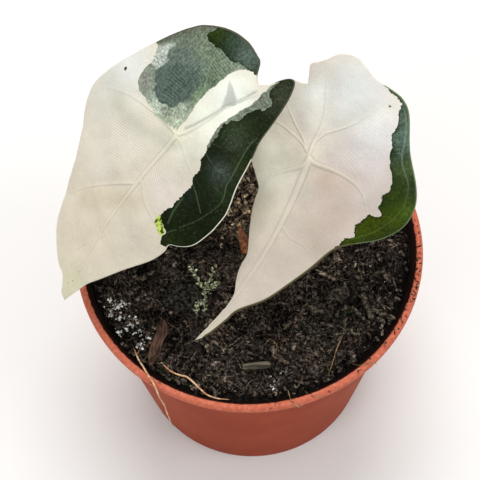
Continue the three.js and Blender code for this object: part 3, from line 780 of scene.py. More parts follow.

# %% [markdown]
# ## The colours of the skin
# The white has its own washed colour, a little clouded. The greens share one pattern of flecks
# and weave. Grey-green is green seen through a white upper layer, with slate blue in places.
# Full green is dusty in places, lighter on its veins, which carry a painted glint in places, and
# darkest just inside its border.
# %% Colours of the skin


def white_skin(tree, cloud, speck, stripe, core, flank):
    """Skin without green, lighter on the ribs, with painted shade on their flanks."""
    tint = swayed(tree, scaled(tree, cloud, 0.24, 0.82), speck, 0.24)
    for wave, share in ((stripe, 0.085), (flank, -0.2)):
        tint = scaled(tree, wave, share, tint)
    white = shaded(tree, attribute(tree, "ground", "Color"), tint)
    return glaze(tree, core, 0.3, white, paint(228, 224, 202))


def green_tint(tree, cloud, speck, stripe):
    """How light the green is from place to place."""
    weave = ramp(tree, noise(tree, 1000.0, 3.0, 0.7), 0.36, 0.66)
    tint = scaled(tree, ramp(tree, speck, 0.5, 0.72), 0.45, 0.8)
    tint = swayed(tree, swayed(tree, tint, weave, 0.55), cloud, 0.9)
    return scaled(tree, stripe, 0.17, tint)


def grey_green_skin(tree, tint, core, fray):
    """Green under white, with slate blue patches whose border wanders."""
    sage = shaded(tree, attribute(tree, "sage", "Color"), tint)
    sage = glaze(tree, core, 0.6, sage, paint(164, 182, 146))
    wander = swayed(tree, fray, noise(tree, 260.0, 1.0), 4.0)
    depth = maths(tree, "ADD", attribute(tree, "blue_depth"), wander)
    soft = attribute(tree, "blue_soft")
    inside_blue = ramp(tree, depth, times(tree, soft, -1.0), soft)
    return blend(tree, inside_blue, sage, shaded(tree, paint(86, 101, 93), tint))


def full_green_skin(tree, tint, vein, dust, depth):
    """Full green with its dust, its veins with a painted glint on some, and its dark border."""
    deep = shaded(tree, attribute(tree, "deep", "Color"), tint)
    deep = glaze(tree, dust, 0.4, deep, paint(104, 116, 104))
    deep = glaze(tree, vein, 0.34, deep, attribute(tree, "vein_and_glint_tone", "Color"))
    shore = fall(tree, depth, 0.1, 0.7)
    return glaze(tree, shore, 0.6, deep, paint(14, 22, 4))


print("the colours of the skin are ready")

# %% [markdown]
# ## Leaf skin
# The colours are laid over one another: white ground, grey-green, full green, yellow-green, then
# the rim, a few dark spots and the duller underside. The skin has a satin shine, a little
# stronger on the full green.
# %% Leaf skin material


def leaf_skin():
    """Lays the colours over one another by the stored depths of the patches."""
    made, tree, shader = material("leaf skin", Specular_IOR_Level=0.06)
    coarse = maths(tree, "SUBTRACT", noise(tree, 420.0, 2.0, 0.6), 0.5)
    fine = maths(tree, "SUBTRACT", noise(tree, 1500.0, 2.0, 0.6), 0.5)
    fray = scaled(tree, coarse, 1.9, times(tree, fine, 0.8))
    cloud, speck = noise(tree, 130.0, 4.0, 0.6), noise(tree, 1600.0, 2.0, 0.7)
    core, flank, height = rib_bands(tree)
    stripe = nerve_stripes(tree)
    side_vein = fall(tree, attribute(tree, "vein"), 0.25, 1.0)
    vein = maths(tree, "MAXIMUM", side_vein, core)
    dust = times(tree, ramp(tree, speck, 0.6, 0.7), ramp(tree, cloud, 0.45, 0.65))
    tint = green_tint(tree, cloud, speck, stripe)
    skin = white_skin(tree, cloud, speck, stripe, core, flank)
    grey_in = frayed(tree, "grey_depth", times(tree, fray, 0.6))
    skin = blend(tree, grey_in, skin, grey_green_skin(tree, tint, core, fray))
    dark_depth = maths(tree, "ADD", attribute(tree, "dark_depth"), fray)
    dark_in = ramp(tree, dark_depth, -BORDER, BORDER)
    skin = blend(tree, dark_in, skin, full_green_skin(tree, tint, vein, dust, dark_depth))
    lime_in = frayed(tree, "lime_depth", times(tree, fray, 0.7))
    lime_mark = ramp(tree, noise(tree, 700.0, 2.0, 0.6), 0.46, 0.54)
    lime = blend(tree, lime_mark, paint(54, 74, 10), paint(186, 206, 96))
    skin = blend(tree, lime_in, skin, lime)
    rim = fall(tree, attribute(tree, "rim"), 0.7, 1.1)
    skin = blend(tree, rim, skin, attribute(tree, "rim_colour", "Color"))
    spot = ramp(tree, attribute(tree, "spot"), 0.0, 0.25)
    skin = blend(tree, spot, skin, paint(60, 62, 50))
    dull = blend(tree, 0.45, skin, paint(170, 182, 140))
    skin = blend(tree, attribute(tree, "under"), skin, dull)
    rough = scaled(tree, cloud, 0.14, scaled(tree, dark_in, -0.16, 0.52))
    for wave, share in ((stripe, 0.5), (speck, 0.9), (cloud, 5.0), (vein, -1.2)):
        height = scaled(tree, wave, share, height)
    dress(tree, shader.inputs, skin, rough, bump(tree, height, 0.00007))
    return made


LEAF_SKIN = leaf_skin()
print("leaf skin nodes:", len(LEAF_SKIN.node_tree.nodes))

# %% [markdown]
# ## Marks on the plan
# Within a patch the colour isn't even. Soft rounds and patches of a slightly other colour are
# worked out on the plan and stored with the points, as a brush lays wet colour into wet.
# %% Marks


def spots_of(points, marks):
    """Positive inside small dark spots, each given as x, y and radius."""
    return np.maximum.reduce([r - np.hypot(*(points - (x, y)).T) for x, y, r in marks])


def soft_patch(points, outline, width):
    """0 outside a patch to 1 inside it, across a border of the given width."""
    share = np.clip(patch_depth(points, outline) / width + 0.5, 0, 1)
    return (share * share * (3 - 2 * share))[:, None]


def bells(points, spots, least):
    """The greatest of some round bells, each given as x, y and radius, and at least least."""
    tops = [np.exp(-((points - (x, y)) ** 2).sum(1) / r**2) for x, y, r in spots]
    return np.maximum(np.maximum.reduce(tops), least)


def mixed(first, tone, share):
    """A screen colour over the first colours by share."""
    return first * (1 - share) + np.array(paint(*tone)) * share


def painted_where(mask, tone, others):
    """A screen colour where the mask is true, and the other colours elsewhere."""
    return np.where(mask[:, None], np.array(paint(*tone)), others)


print("half of grey 200 over black:", mixed(np.zeros(4), (200, 200, 200), 0.5).round(3))

# %% [markdown]
# ## Washes of the left leaf
# The left leaf is white with a grey-green lobe at the back and a dark green strip along its
# right side. The white grows warmer to the tip and is darker there with painted shade, and its
# upper part is painted lighter where it faces the light. The strip and the lobe have painted
# sheen in slate grey. Each bracket below is one wash: its place on the plan, its radius, its
# strength and its colour.
# %% Washes of the left leaf
# The white, with painted light on its upper part and painted shade to the tip and beside some ribs.
LEFT_GROUND = (
    (-32, 1, 11, 0.95, (228, 231, 226)), (-34, 13, 9, 0.7, (205, 206, 197)),
    (-27, 23, 10, 0.7, (212, 208, 195)), (-13, 12, 10, 0.7, (225, 220, 208)),
    (6, -20, 9, 1.0, (236, 243, 232)), (3, -10, 6, 0.9, (238, 242, 228)),
    (5, 1, 8, 0.7, (212, 214, 200)), (9.5, 7, 4.5, 0.8, (196, 192, 177)),
    (-12, 36, 12, 0.7, (214, 204, 182)), (-5, 53, 12, 0.7, (220, 209, 188)),
    (6, 32, 9, 0.8, (205, 198, 181)), (8, 16, 7, 0.7, (222, 214, 206)),
    (0, 68, 9, 0.9, (208, 205, 176)), (0, 0, 3, 0.8, (228, 226, 200)),
    (13, -9, 5, 0.8, (244, 246, 238)), (-17, 28, 8, 0.55, (218, 214, 204)),
)
LEFT_SAGE = (
    (-12, -24, 6, 0.8, (116, 134, 108)), (-17, -22, 5, 0.6, (112, 122, 104)),
    (-24, -1, 4.5, 0.9, (150, 154, 142)), (-14, 1.5, 5, 0.95, (196, 208, 190)),
    (-3, -2, 4, 0.9, (204, 214, 190)), (-5, -5.5, 2.6, 0.8, (184, 198, 176)),
    (-4.5, -13, 3, 0.7, (124, 150, 112)), (-2, -21, 5, 0.6, (104, 124, 96)),
    (3, -27, 4, 0.6, (150, 164, 146)), (12, -24, 8, 0.95, (126, 136, 122)),
    (9, -8, 6, 0.95, (122, 128, 114)),
)
# Greens of the lobe and the strip. The greyer, lighter washes on the strip and at the lobe's right end are
# painted sheen.
LEFT_DEEP = (
    (-13, -28.5, 4, 0.9, (44, 60, 18)), (-5, -28.5, 3, 0.9, (38, 54, 34)),
    (-8, -31, 3, 0.8, (60, 80, 58)), (1.5, -31.5, 4.5, 0.95, (96, 112, 101)),
    (-3.5, -33.5, 3.5, 0.8, (80, 96, 84)), (17, -30, 6, 0.9, (56, 62, 46)),
    (14, -14, 5, 0.7, (50, 64, 40)), (18, -1, 3.4, 0.9, (66, 78, 70)),
    (16, -11, 3, 0.6, (58, 66, 54)), (20, 3, 2.6, 0.7, (60, 70, 58)),
    (16, 12, 4, 0.8, (34, 46, 32)), (23, 4, 3.5, 0.9, (38, 54, 24)),
    (21, -6, 4, 0.45, (48, 60, 28)), (20, 14, 6, 0.95, (14, 23, 2)),
    (16, 22, 4, 0.9, (18, 28, 3)), (18, 28, 4, 0.8, (34, 44, 12)),
)
LEFT_SPOTS = (
    (-33.4, 2.1, 0.8), (-1.1, 60.9, 0.3), (-1.5, 65.6, 0.35), (-2.5, 67.7, 0.3), (3.2, 57.7, 0.3),
    (-18.3, -25.2, 0.5),
)
LEFT_COMBED = ((-16, 13, 11), (5, 13, 9), (12, -20, 6), (-14, -6, 11), (-8, -22, 10))
print("washes on the left leaf:", len(LEFT_GROUND) + len(LEFT_SAGE) + len(LEFT_DEEP))

# %% [markdown]
# ## Left blade
# The washes, the painted shade along lines and the patches are gathered into the values that
# the skin reads. A fine white rim edges the green strip, and the grey-green lobe has a dark one.
# %% Left blade


def paint_left(points, to_margin):
    """Values and colours of the left leaf at each point of its plan."""
    x, y = points.T
    ground = washes(points, (216, 208, 190), LEFT_GROUND)
    ground = mixed(ground, (194, 199, 191), soft_patch(points, GREY_WEDGE, 0.5))
    # Painted shade along each line of LEFT_SHADES.
    for line, reach, tone, share in LEFT_SHADES:
        near = np.exp(-((line_distance(points, line)[0] / reach) ** 2))[:, None]
        ground = mixed(ground, tone, share * near)
    sage = washes(points, (122, 136, 118), LEFT_SAGE)
    sage = mixed(sage, (96, 110, 102), 0.75 * soft_patch(points, BLUE_HAZE, 5.0))
    sage = mixed(sage, (182, 190, 180), soft_patch(points, PALE, 0.5))
    near_edge = np.exp(-((to_margin / 2.4) ** 2))
    brown = near_edge * np.clip((-9 - y) / 4, 0, 1) * np.clip((2 - x) / 8, 0, 1)
    sage = mixed(sage, (98, 100, 88), 0.9 * brown[:, None])
    wedge = np.maximum(patch_depth(points, SAGE), patch_depth(points, STRIP_GREY))
    dark = np.maximum(patch_depth(points, LOBE_DARK), patch_depth(points, STRIP_DARK))
    on_strip = (x > 14) & (y > -6) & (y < 29.5)
    width = np.where(on_strip, 0.22, np.where((x < 0) & (y < -10), 0.55, 0.25))
    rim_colour = painted_where(on_strip, (220, 221, 204), np.array(paint(206, 198, 180)))
    rim_colour = painted_where((y < -10) & (wedge > 0), (78, 80, 68), rim_colour)
    values = {
        "grey_depth": wedge, "dark_depth": dark, "lime_depth": patch_depth(points, LIME),
        "blue_depth": patch_depth(points, BLUE_PATCH),
        "blue_soft": 0.06 + 2.6 * np.clip((x * 0.6 - y - 2) / 8, 0, 1),
        "combed": 1.3 * bells(points, LEFT_COMBED, 0.15),
        "spot": spots_of(points, LEFT_SPOTS), "rim": to_margin / width,
    }
    colours = {
        "ground": ground, "sage": sage, "rim_colour": rim_colour,
        "deep": washes(points, (18, 29, 5), LEFT_DEEP),
        # The veins on the strip are lighter near (22, -4) with a painted glint.
        "vein_and_glint_tone": washes(points, (88, 106, 80), ((22, -4, 12, 0.9, (112, 134, 100)),)),
    }
    return values, colours


blade_left = blade("blade_left_skin", LEFT_LEAF, LEAF_SKIN, paint_left)
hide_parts("blade_left")

# %% [markdown]
# ## Washes of the right leaf
# The right leaf is almost wholly white, a little rosy to its tip, with one green strip that
# folds down along its right side: painted sheen in slate blue above, where the light grazes it,
# and fresh green below. The white also holds painted shade beside some ribs and painted light
# where the left leaf shades it. The washes read as those of the left leaf.
# %% Washes of the right leaf
# The white, with painted shade beside some ribs, and at (-8, 12) and (-12, 6) painted light where the left
# leaf shades it.
RIGHT_GROUND = (
    (4, -24, 14, 0.9, (220, 220, 214)), (14, -16, 9, 0.8, (225, 226, 220)),
    (20, 0, 8, 0.8, (204, 195, 190)), (17, 11, 9, 0.9, (190, 173, 164)),
    (17, 23, 7, 0.9, (189, 177, 163)), (10, -10.5, 4.5, 0.8, (198, 192, 192)),
    (8, -4, 3.5, 0.8, (222, 212, 209)), (11, 6, 6, 0.5, (192, 179, 167)),
    (-7, -17, 5, 0.8, (222, 219, 210)), (-11, -9, 4, 0.8, (215, 210, 199)),
    (2, 10, 5, 0.7, (197, 189, 176)), (8, 34, 10, 0.7, (206, 193, 181)),
    (6, 50, 9, 0.6, (212, 200, 186)), (1, 66, 8, 0.9, (214, 206, 186)),
    (-2, 21, 6, 0.8, (228, 219, 199)), (-9, 0, 4, 0.7, (206, 199, 181)),
    (-8, 12, 6.5, 1.0, (255, 251, 236)), (-12, 6, 5, 1.0, (255, 250, 236)),
    (0, -24, 8, 0.8, (206, 210, 208)), (15, -17, 5, 0.7, (213, 213, 214)),
    (-9, -16, 4.5, 0.8, (238, 240, 236)), (-6, -10, 3.5, 0.8, (228, 224, 216)),
    (5, -9, 4.5, 0.8, (199, 193, 184)), (0, 0, 4, 0.8, (216, 210, 191)),
    (8, 3, 4, 0.85, (181, 164, 149)), (14, 2, 4, 0.7, (188, 173, 162)),
    (18, -9, 5, 0.5, (202, 195, 197)), (0, 30, 4, 0.7, (227, 217, 199)),
    (12, 31, 7, 0.7, (195, 184, 171)), (11, 17, 5, 0.6, (194, 180, 166)),
)
# Greens of the strip. The slate washes on its upper part are painted sheen, where the light grazes the fold.
RIGHT_DEEP = (
    (33, 4, 5, 0.8, (66, 88, 0)), (28, 9, 4, 0.7, (66, 78, 0)),
    (23, 15, 3.5, 0.7, (58, 74, 2)), (22, -20, 7, 0.95, (99, 121, 108)),
    (28, -12, 3.6, 0.85, (82, 102, 60)), (17, -28, 5, 0.9, (78, 92, 84)),
    (20, -14, 2.4, 0.9, (34, 54, 16)), (25.5, -6, 2.4, 0.9, (34, 54, 14)),
    (27, 1, 2.2, 0.8, (34, 56, 10)), (34, -7, 3, 0.8, (46, 62, 46)),
    (36.5, 1, 2.6, 0.8, (78, 106, 26)), (17.6, -20.6, 1.4, 0.9, (30, 44, 24)),
    (21.5, 19, 3, 0.9, (56, 62, 26)),
)
RIGHT_COMBED = ((10, -5, 8), (12, -18, 5), (12, 26, 7))
NOWHERE = -9.0
print("washes on the right leaf:", len(RIGHT_GROUND) + len(RIGHT_DEEP))

# %% [markdown]
# ## Right blade
# This leaf has one green patch only, so the depths of the other patches are set to a value that
# is outside everywhere. Its rim is dark low on the right and green along the strip.
# %% Right blade


def paint_right(points, to_margin):
    """Values and colours of the right leaf at each point of its plan."""
    x, y = points.T
    ground = washes(points, (212, 202, 190), RIGHT_GROUND)
    low_edge = (x > midrib(RIGHT_LEAF, y) + 1) & (y > 16)
    green_edge = (x > 8) & (y <= 16)
    width = np.where(low_edge, 0.8, np.where(green_edge, 0.4, 0.25))
    rim_colour = painted_where(low_edge, (84, 80, 52), np.array(paint(214, 206, 190)))
    rim_colour = painted_where(green_edge, (104, 122, 84), rim_colour)
    far = np.full(len(points), NOWHERE)
    values = {
        "grey_depth": far, "dark_depth": patch_depth(points, RIGHT_GREEN), "lime_depth": far,
        "blue_depth": far, "blue_soft": np.ones(len(points)),
        "combed": 0.45 * bells(points, RIGHT_COMBED, 0.2),
        "spot": spots_of(points, ((12.4, -25.7, 0.62),)), "rim": to_margin / width,
    }
    colours = {
        "ground": ground, "sage": ground, "rim_colour": rim_colour,
        "deep": washes(points, (42, 58, 0), RIGHT_DEEP),
        # The light slate tone of the veins high on the strip is a painted glint.
        "vein_and_glint_tone": washes(points, (88, 110, 38), ((24, -18, 12, 0.95, (146, 168, 158)),)),
    }
    return values, colours


blade_right = blade("blade_right_skin", RIGHT_LEAF, LEAF_SKIN, paint_right)
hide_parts("blade_right")

# %% [markdown]
# ## Stalks
# Each leaf stands on a stalk that rises from a thick neck in the soil. A tube with a radius at
# each point of its path is enough, as a stalk is round and tapers. Fine ridges run along it.
# %% Limb function and stalk skin


def limb(path, radii, sides, steps, ridge, seed):
    """A closed tube: circles square to a smooth path, with radii eased from point to point and
    a ripple of the given height round each circle. The first and last ring close to a point."""
    centre = smooth_line(np.asarray(path, float), steps)
    tangent = np.gradient(centre, axis=0)
    tangent /= np.linalg.norm(tangent, axis=1)[:, None]
    lengths = np.linalg.norm(np.diff(np.asarray(path, float), axis=0), axis=1)
    knots = np.concatenate([[0], np.cumsum(lengths)]) / lengths.sum()
    radius = np.interp(np.linspace(0, 1, steps + 1), knots, radii)
    helper = np.eye(3)[np.argmin(np.abs(tangent).max(0))]
    first = np.cross(tangent, helper)
    first /= np.linalg.norm(first, axis=1)[:, None]
    second = np.cross(tangent, first)
    angle = np.linspace(0, 2 * np.pi, sides, endpoint=False)[:, None]
    phase = np.random.default_rng(seed).uniform(0, 6.28, 3)
    wave = 1 + ridge * (np.sin(5 * angle + phase[0]) + 0.6 * np.sin(9 * angle + phase[1]))
    spoke = np.cos(angle) * first[:, None] + np.sin(angle) * second[:, None]
    tube = centre[:, None] + spoke * radius[:, None, None] * wave
    caps = [np.repeat(point[None, None], sides, 1) for point in (centre[0], centre[-1])]
    places = np.concatenate([caps[0], tube, caps[1]]).reshape(-1, 3)
    kept, faces = weld(places, grid_faces(steps + 3, sides, True))
    return places[kept], faces


def stalk_skin():
    """Pale green with streaks along the stalk and brown flecks, and browner near the soil."""
    made, tree, shader = material("stalk skin", Specular_IOR_Level=0.3)
    streak = noise(tree, 900.0, 3.0, 0.6, stretch=(1.0, 1.0, 0.08))
    place = node(tree, "ShaderNodeTexCoord").outputs["Object"]
    height = node(tree, "ShaderNodeSeparateXYZ", {0: place}).outputs[2]
    low = fall(tree, height, 0.094, 0.118)
    pale = ramp(tree, streak, 0.35, 0.7)
    tone = blend(tree, pale, paint(178, 186, 128), paint(206, 208, 164))
    tone = glaze(tree, low, 0.8, tone, paint(188, 150, 112))
    fleck = noise(tree, 380.0, 4.0, 0.7, stretch=(1.0, 1.0, 0.4))
    tone = glaze(tree, ramp(tree, fleck, 0.62, 0.72), 0.5, tone, paint(120, 92, 70))
    dress(tree, shader.inputs, tone, scaled(tree, streak, 0.2, 0.38), bump(tree, streak, 0.0002))
    return made


STALK_SKIN = stalk_skin()
print("stalk skin nodes:", len(STALK_SKIN.node_tree.nodes))

# %% [markdown]
# ## The two stalks
# The path of each stalk is a row of places and radii from below the soil to just under the
# leaf. Its last part leans square to the blade, as a stalk meets the blade from below.
# %% Stalks
# Rows of x, y, z and radius.
STALKS = {
    "stem_left": ((-14, 14, 83, 3.6), (-14, 14, 92, 4.6), (-14, 14, 97, 4.3), (-13.6, 14.4, 106, 3.2),
                  (-12.6, 14.8, 122, 2.5), (-12.4, 14.2, 140, 2.2), (-14.2, 11.6, 153, 2)),
    "stem_right": ((8, 9, 83, 3.6), (8, 9, 92, 4.8), (8, 9, 97, 4.5), (9, 9.8, 106, 3.4),
                   (12, 11.6, 120, 2.6), (16, 12.6, 134, 2.3), (18.6, 11, 145, 2.1)),
}
for stalk_name, leaf_plan in (("stem_left", LEFT_LEAF), ("stem_right", RIGHT_LEAF)):
    joint, _, along, up, length = leaf_axes(leaf_plan)
    lean = unit(up - 4 * leaf_plan["arch"] / length * along)
    rows = np.array(STALKS[stalk_name])
    ends = np.stack([joint - 5.7 * lean, joint - 1.5 * lean, joint - 0.5 * lean])
    path = np.concatenate([rows[:, :3], ends])
    radii = np.concatenate([rows[:, 3], [rows[-1, 3] * 0.95, rows[-1, 3], rows[-1, 3] * 0.9]])
    stalk = build(stalk_name + "_skin", *limb(path, radii, 40, 120, 0.02, 3), STALK_SKIN, "stalk")
    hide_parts(stalk_name)

# %% [markdown]
# ## Pot
# A nursery pot is thin plastic pressed into a mould: a tapered wall, a short turned-out lip and
# a raised floor with drain holes. A profile turned round the axis gives all but the holes and
# the notches in the foot, which a Boolean cuts. The lip is rounded with small arcs.
# %% Pot profile
POT_HEIGHT, RIM_RADIUS, BASE_RADIUS = 99.0, 60.0, 44.5
SHOULDER_RADIUS, SHOULDER_HEIGHT, WALL, FLOOR = 56.0, 95.0, 1.2, 2.2


def outer_radius(height):
    """Radius of the tapered wall outside: a straight line from the base to the shoulder."""
    return BASE_RADIUS + (SHOULDER_RADIUS - BASE_RADIUS) * height / SHOULDER_HEIGHT


def arc(radius_centre, height_centre, size, start, end, count):
    """Points of a circular arc in the profile, from one angle to another in degrees."""
    angle = np.radians(np.linspace(start, end, count))
    return [(radius_centre + size * np.cos(a), height_centre + size * np.sin(a)) for a in angle]


# The underside: a raised ring between the flat middle and the foot.
profile = [(0, 0), (7, 0), (14.6, 0), (15, 0.15), (16, 1.2), (22, 1.2), (29, 1.2), (36, 1.2)]
profile += [(36.8, 0.2), (37.1, 0), (40, 0), (BASE_RADIUS - 0.9, 0), (BASE_RADIUS - 0.2, 0.3)]
# The wall outside, the shoulder and the lip.
profile += [(outer_radius(z), z) for z in (1.0, *np.linspace(4, SHOULDER_HEIGHT - 0.4, 24))]
profile += arc(SHOULDER_RADIUS + 1.0, SHOULDER_HEIGHT - 0.3, 1.0, 180, 90, 5)
profile += arc(RIM_RADIUS - 1.3, POT_HEIGHT - 2.1, 1.3, -60, 0, 5)
profile += [(RIM_RADIUS, POT_HEIGHT - 1.6)]
profile += arc(RIM_RADIUS - 1.4, POT_HEIGHT - 1.4, 1.4, 10, 90, 7)
profile += [(RIM_RADIUS - inward, POT_HEIGHT - down)
            for inward, down in ((1.9, 0.1), (2.5, 0.8), (3.2, 2.2), (4.4, 4.0))]
# The wall inside and the floor.
profile += [(outer_radius(SHOULDER_HEIGHT - 1.5) - WALL, SHOULDER_HEIGHT - 1.5)]
profile += [(outer_radius(z) - WALL, z) for z in np.linspace(88, FLOOR + 1, 12)]
profile += [(outer_radius(FLOOR) - WALL - 0.9, FLOOR), (30, FLOOR), (18, FLOOR), (8, FLOOR), (0, FLOOR)]
POT_PROFILE = np.array(profile)
print("pot profile points:", len(POT_PROFILE), "top", POT_PROFILE[:, 1].max())

# %% [markdown]
# ## Plastic
# The plastic is matt. Its lip is painted paler, as light from above falls on its top, with
# painted highlight patches, and it is dirty there. Inside it is almost black with painted shade,
# partly soil dirt. As the wall is one closed skin, its inner side is told by the distance from
# the axis.
# %% Plastic
# The funnel under the lip widens by this much per millimetre, from this radius at the shoulder.
FUNNEL, FUNNEL_RADIUS = 0.667, 55.85


def shaded_inside(tree, place, height):
    """1 on all that lies within the middle of the wall, or within the funnel under the lip, and
    below an uneven line: the inside that painted shade, partly soil dirt, darkens."""
    level = node(tree, "ShaderNodeVectorMath", {0: place, 1: (1.0, 1.0, 0.0)}, operation="MULTIPLY")
    length = node(tree, "ShaderNodeVectorMath", {0: level.outputs[0]}, operation="LENGTH")
    shade_edge = scaled(tree, noise(tree, 700.0, 3.0, 0.6), 0.0010, 0.0572)
    slope = (SHOULDER_RADIUS - BASE_RADIUS) / SHOULDER_HEIGHT
    wall = scaled(tree, height, slope, (BASE_RADIUS - WALL / 2) * MM)
    funnel = scaled(tree, height, FUNNEL, (FUNNEL_RADIUS - FUNNEL * SHOULDER_HEIGHT) * MM)
    limit = maths(tree, "MINIMUM", shade_edge, maths(tree, "MAXIMUM", wall, funnel))
    beyond = maths(tree, "SUBTRACT", length.outputs[1], limit)
    return fall(tree, beyond, -0.0001, 0.0001)


def lip_grime(tree, across, height):
    """1 in small patches on the lip, more of them on the right, where it has been handled."""
    specks = ramp(tree, noise(tree, 900.0, 3.0, 0.7), 0.56, 0.68)
    handled = times(tree, ramp(tree, across, 0.02, 0.05), 0.14)
    clouds = maths(tree, "ADD", noise(tree, 90.0, 2.0, 0.5), handled)
    patchy = times(tree, specks, ramp(tree, clouds, 0.5, 0.62))
    return times(tree, patchy, ramp(tree, height, 0.09, 0.097))


def plastic():
    """Clouded terracotta, with a lip painted paler as lit from above and with painted highlight
    patches, the grime, and painted shade inside, partly soil dirt, laid over it.
    """
    made, tree, shader = material("pot plastic", Specular_IOR_Level=0.07)
    place = node(tree, "ShaderNodeTexCoord").outputs["Object"]
    across, _, height = node(tree, "ShaderNodeSeparateXYZ", {0: place}).outputs
    cloud = ramp(tree, noise(tree, 45.0, 4.0, 0.6), 0.34, 0.66)
    tone = blend(tree, cloud, paint(143, 52, 19), paint(154, 62, 29))
    flow = noise(tree, 160.0, 3.0, 0.6, stretch=(1.0, 1.0, 0.12))
    tone = glaze(tree, flow, 0.35, tone, paint(129, 43, 14))
    # Painted light: the lip's top is paler than the wall, as lit from above, with painted highlight patches.
    highlight_patches = ramp(tree, noise(tree, 800.0, 3.0, 0.6), 0.4, 0.75)
    lit_lip_tone = blend(tree, highlight_patches, paint(188, 98, 73), paint(206, 124, 102))
    tone = blend(tree, ramp(tree, height, 0.0955, 0.0975), tone, lit_lip_tone)
    grime = lip_grime(tree, across, height)
    tone = glaze(tree, grime, 0.75, tone, paint(70, 44, 30))
    # Painted shade, partly soil dirt, darkens the inside almost to black.
    tone = glaze(tree, shaded_inside(tree, place, height), 0.98, tone, paint(13, 10, 8))
    grain = noise(tree, 2600.0, 2.0, 0.6)
    normal = bump(tree, scaled(tree, grime, 2.0, grain), 0.00005)
    dress(tree, shader.inputs, tone, scaled(tree, grain, 0.2, 0.46), normal)
    return made


POT_PLASTIC = plastic()
print("plastic nodes:", len(POT_PLASTIC.node_tree.nodes))

# %% [markdown]
# ## Turning and cutting
# The profile is carried round the axis to make the shell. The six drain holes and four notches
# in the foot are cut with closed solids that stand a little outside the plastic on both sides,
# so that no two surfaces lie on one another.
# %% Turn the pot and cut it
DRAINS, DRAIN_CIRCLE, DRAIN_RADIUS = 6, 26, 3.5
NOTCHES, NOTCH_SIZE = 4, np.array((12, 6, 2.4))


def turned(profile, sides):
    """Each profile point carried round the axis: (r cos a, r sin a, z)."""
    angle = np.linspace(0, 2 * np.pi, sides, endpoint=False)[None]
    radius, height = profile[:, :1], profile[:, 1:]
    places = np.stack([radius * np.cos(angle), radius * np.sin(angle), height + 0 * angle], -1)
    places = places.reshape(-1, 3)
    kept, faces = weld(places, grid_faces(len(profile), sides, True))
    return places[kept], faces


def cylinder(x, y, radius, low, high, sides=40):
    """A closed cylinder as a turned profile moved to its place."""
    places, faces = turned(np.array([(0, low), (radius, low), (radius, high), (0, high)], float), sides)
    return places + (x, y, 0), faces


def box(size, turn, reach):
    """A block pushed out along x and turned about the axis, cut across the foot ring."""
    corners = np.array([(x, y, z) for x in (-1, 1) for y in (-1, 1) for z in (-1, 1)]) * size / 2
    places = (corners + (reach, 0, 0)) @ upright_turns(np.array([turn]))[0].T
    quads = np.array([(0, 1, 3, 2), (4, 6, 7, 5), (0, 4, 5, 1), (2, 3, 7, 6), (0, 2, 6, 4), (1, 5, 7, 3)])
    return places, split(quads)


def joined(parts):
    """Several closed shells as one array of places and one of faces."""
    offsets = np.cumsum([0] + [len(p) for p, _ in parts[:-1]])
    faces = np.concatenate([outward(p, f) + o for (p, f), o in zip(parts, offsets)])
    return np.concatenate([p for p, _ in parts]), faces


pot = build("pot_shell", *turned(POT_PROFILE, 180), POT_PLASTIC, "pot")
drain_angles = (np.arange(DRAINS) + 0.5) * np.pi / 3
drains = [cylinder(DRAIN_CIRCLE * np.cos(a), DRAIN_CIRCLE * np.sin(a), DRAIN_RADIUS, -3, 8)
          for a in drain_angles]
notches = [box(NOTCH_SIZE, (i + 0.5) * np.pi / 2, BASE_RADIUS - 2) for i in range(NOTCHES)]
cutter = build("cutter", *joined(drains + notches), POT_PLASTIC, "pot", smooth=False)
cut = pot.modifiers.new("cut", "BOOLEAN")
cut.operation, cut.object, cut.solver = "DIFFERENCE", cutter, "EXACT"
shaped = bpy.data.meshes.new_from_object(pot.evaluated_get(bpy.context.evaluated_depsgraph_get()))
pot.modifiers.clear()
pot.data = shaped
bpy.data.objects.remove(cutter)
shaped.set_sharp_from_angle(angle=np.radians(38))
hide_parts("pot")
print("pot after cutting:", len(shaped.polygons), "faces")

# %% [markdown]
# ## Soil
# Potting soil is peat and coir: crumbs of every size with bark chips and fibres. The body is one
# surface with layered noise for its lumps. Over it lie some thousands of separate crumbs, chips
# and fibres, because single pieces with their own edges and shadows are what makes soil read as
# soil.
# %% Soil height and look
# Height of the soil and of its mound, and the radius at which it meets the wall.
SOIL_LEVEL, SOIL_MOUND, SOIL_REACH = 96.0, 0.4, 54.8
# Mean, swing and size in millimetres of the dry and damp spots.
DAMP_MEAN, DAMP_SWING, DAMP_SPOT = 0.88, 0.55, 9.0


def soil_height(x, y):
    """A low mound that falls away at the wall, plus lumps of four sizes."""
    reach = np.hypot(x, y) / SOIL_REACH
    lumps = 0.8 * value_noise(x, y, 8.0, 1) + 0.95 * value_noise(x, y, 3.3, 2)
    lumps += 0.8 * np.abs(value_noise(x, y, 1.5, 3)) + 0.35 * value_noise(x, y, 0.7, 4) - 0.3
    calm = np.clip((1 - reach) * 14, 0, 1)
    mound = SOIL_LEVEL + SOIL_MOUND * (1 - reach**2)
    return mound + lumps * (0.3 + 0.7 * calm) - 0.8 * np.clip(reach * 14 - 13, 0, 1)


def damp(x, y):
    """How dry, and so how light, the soil is at a place: a slow noise about its mean."""
    return np.clip(DAMP_MEAN + DAMP_SWING * value_noise(x, y, DAMP_SPOT, 61), 0.4, 1.5)[:, None]


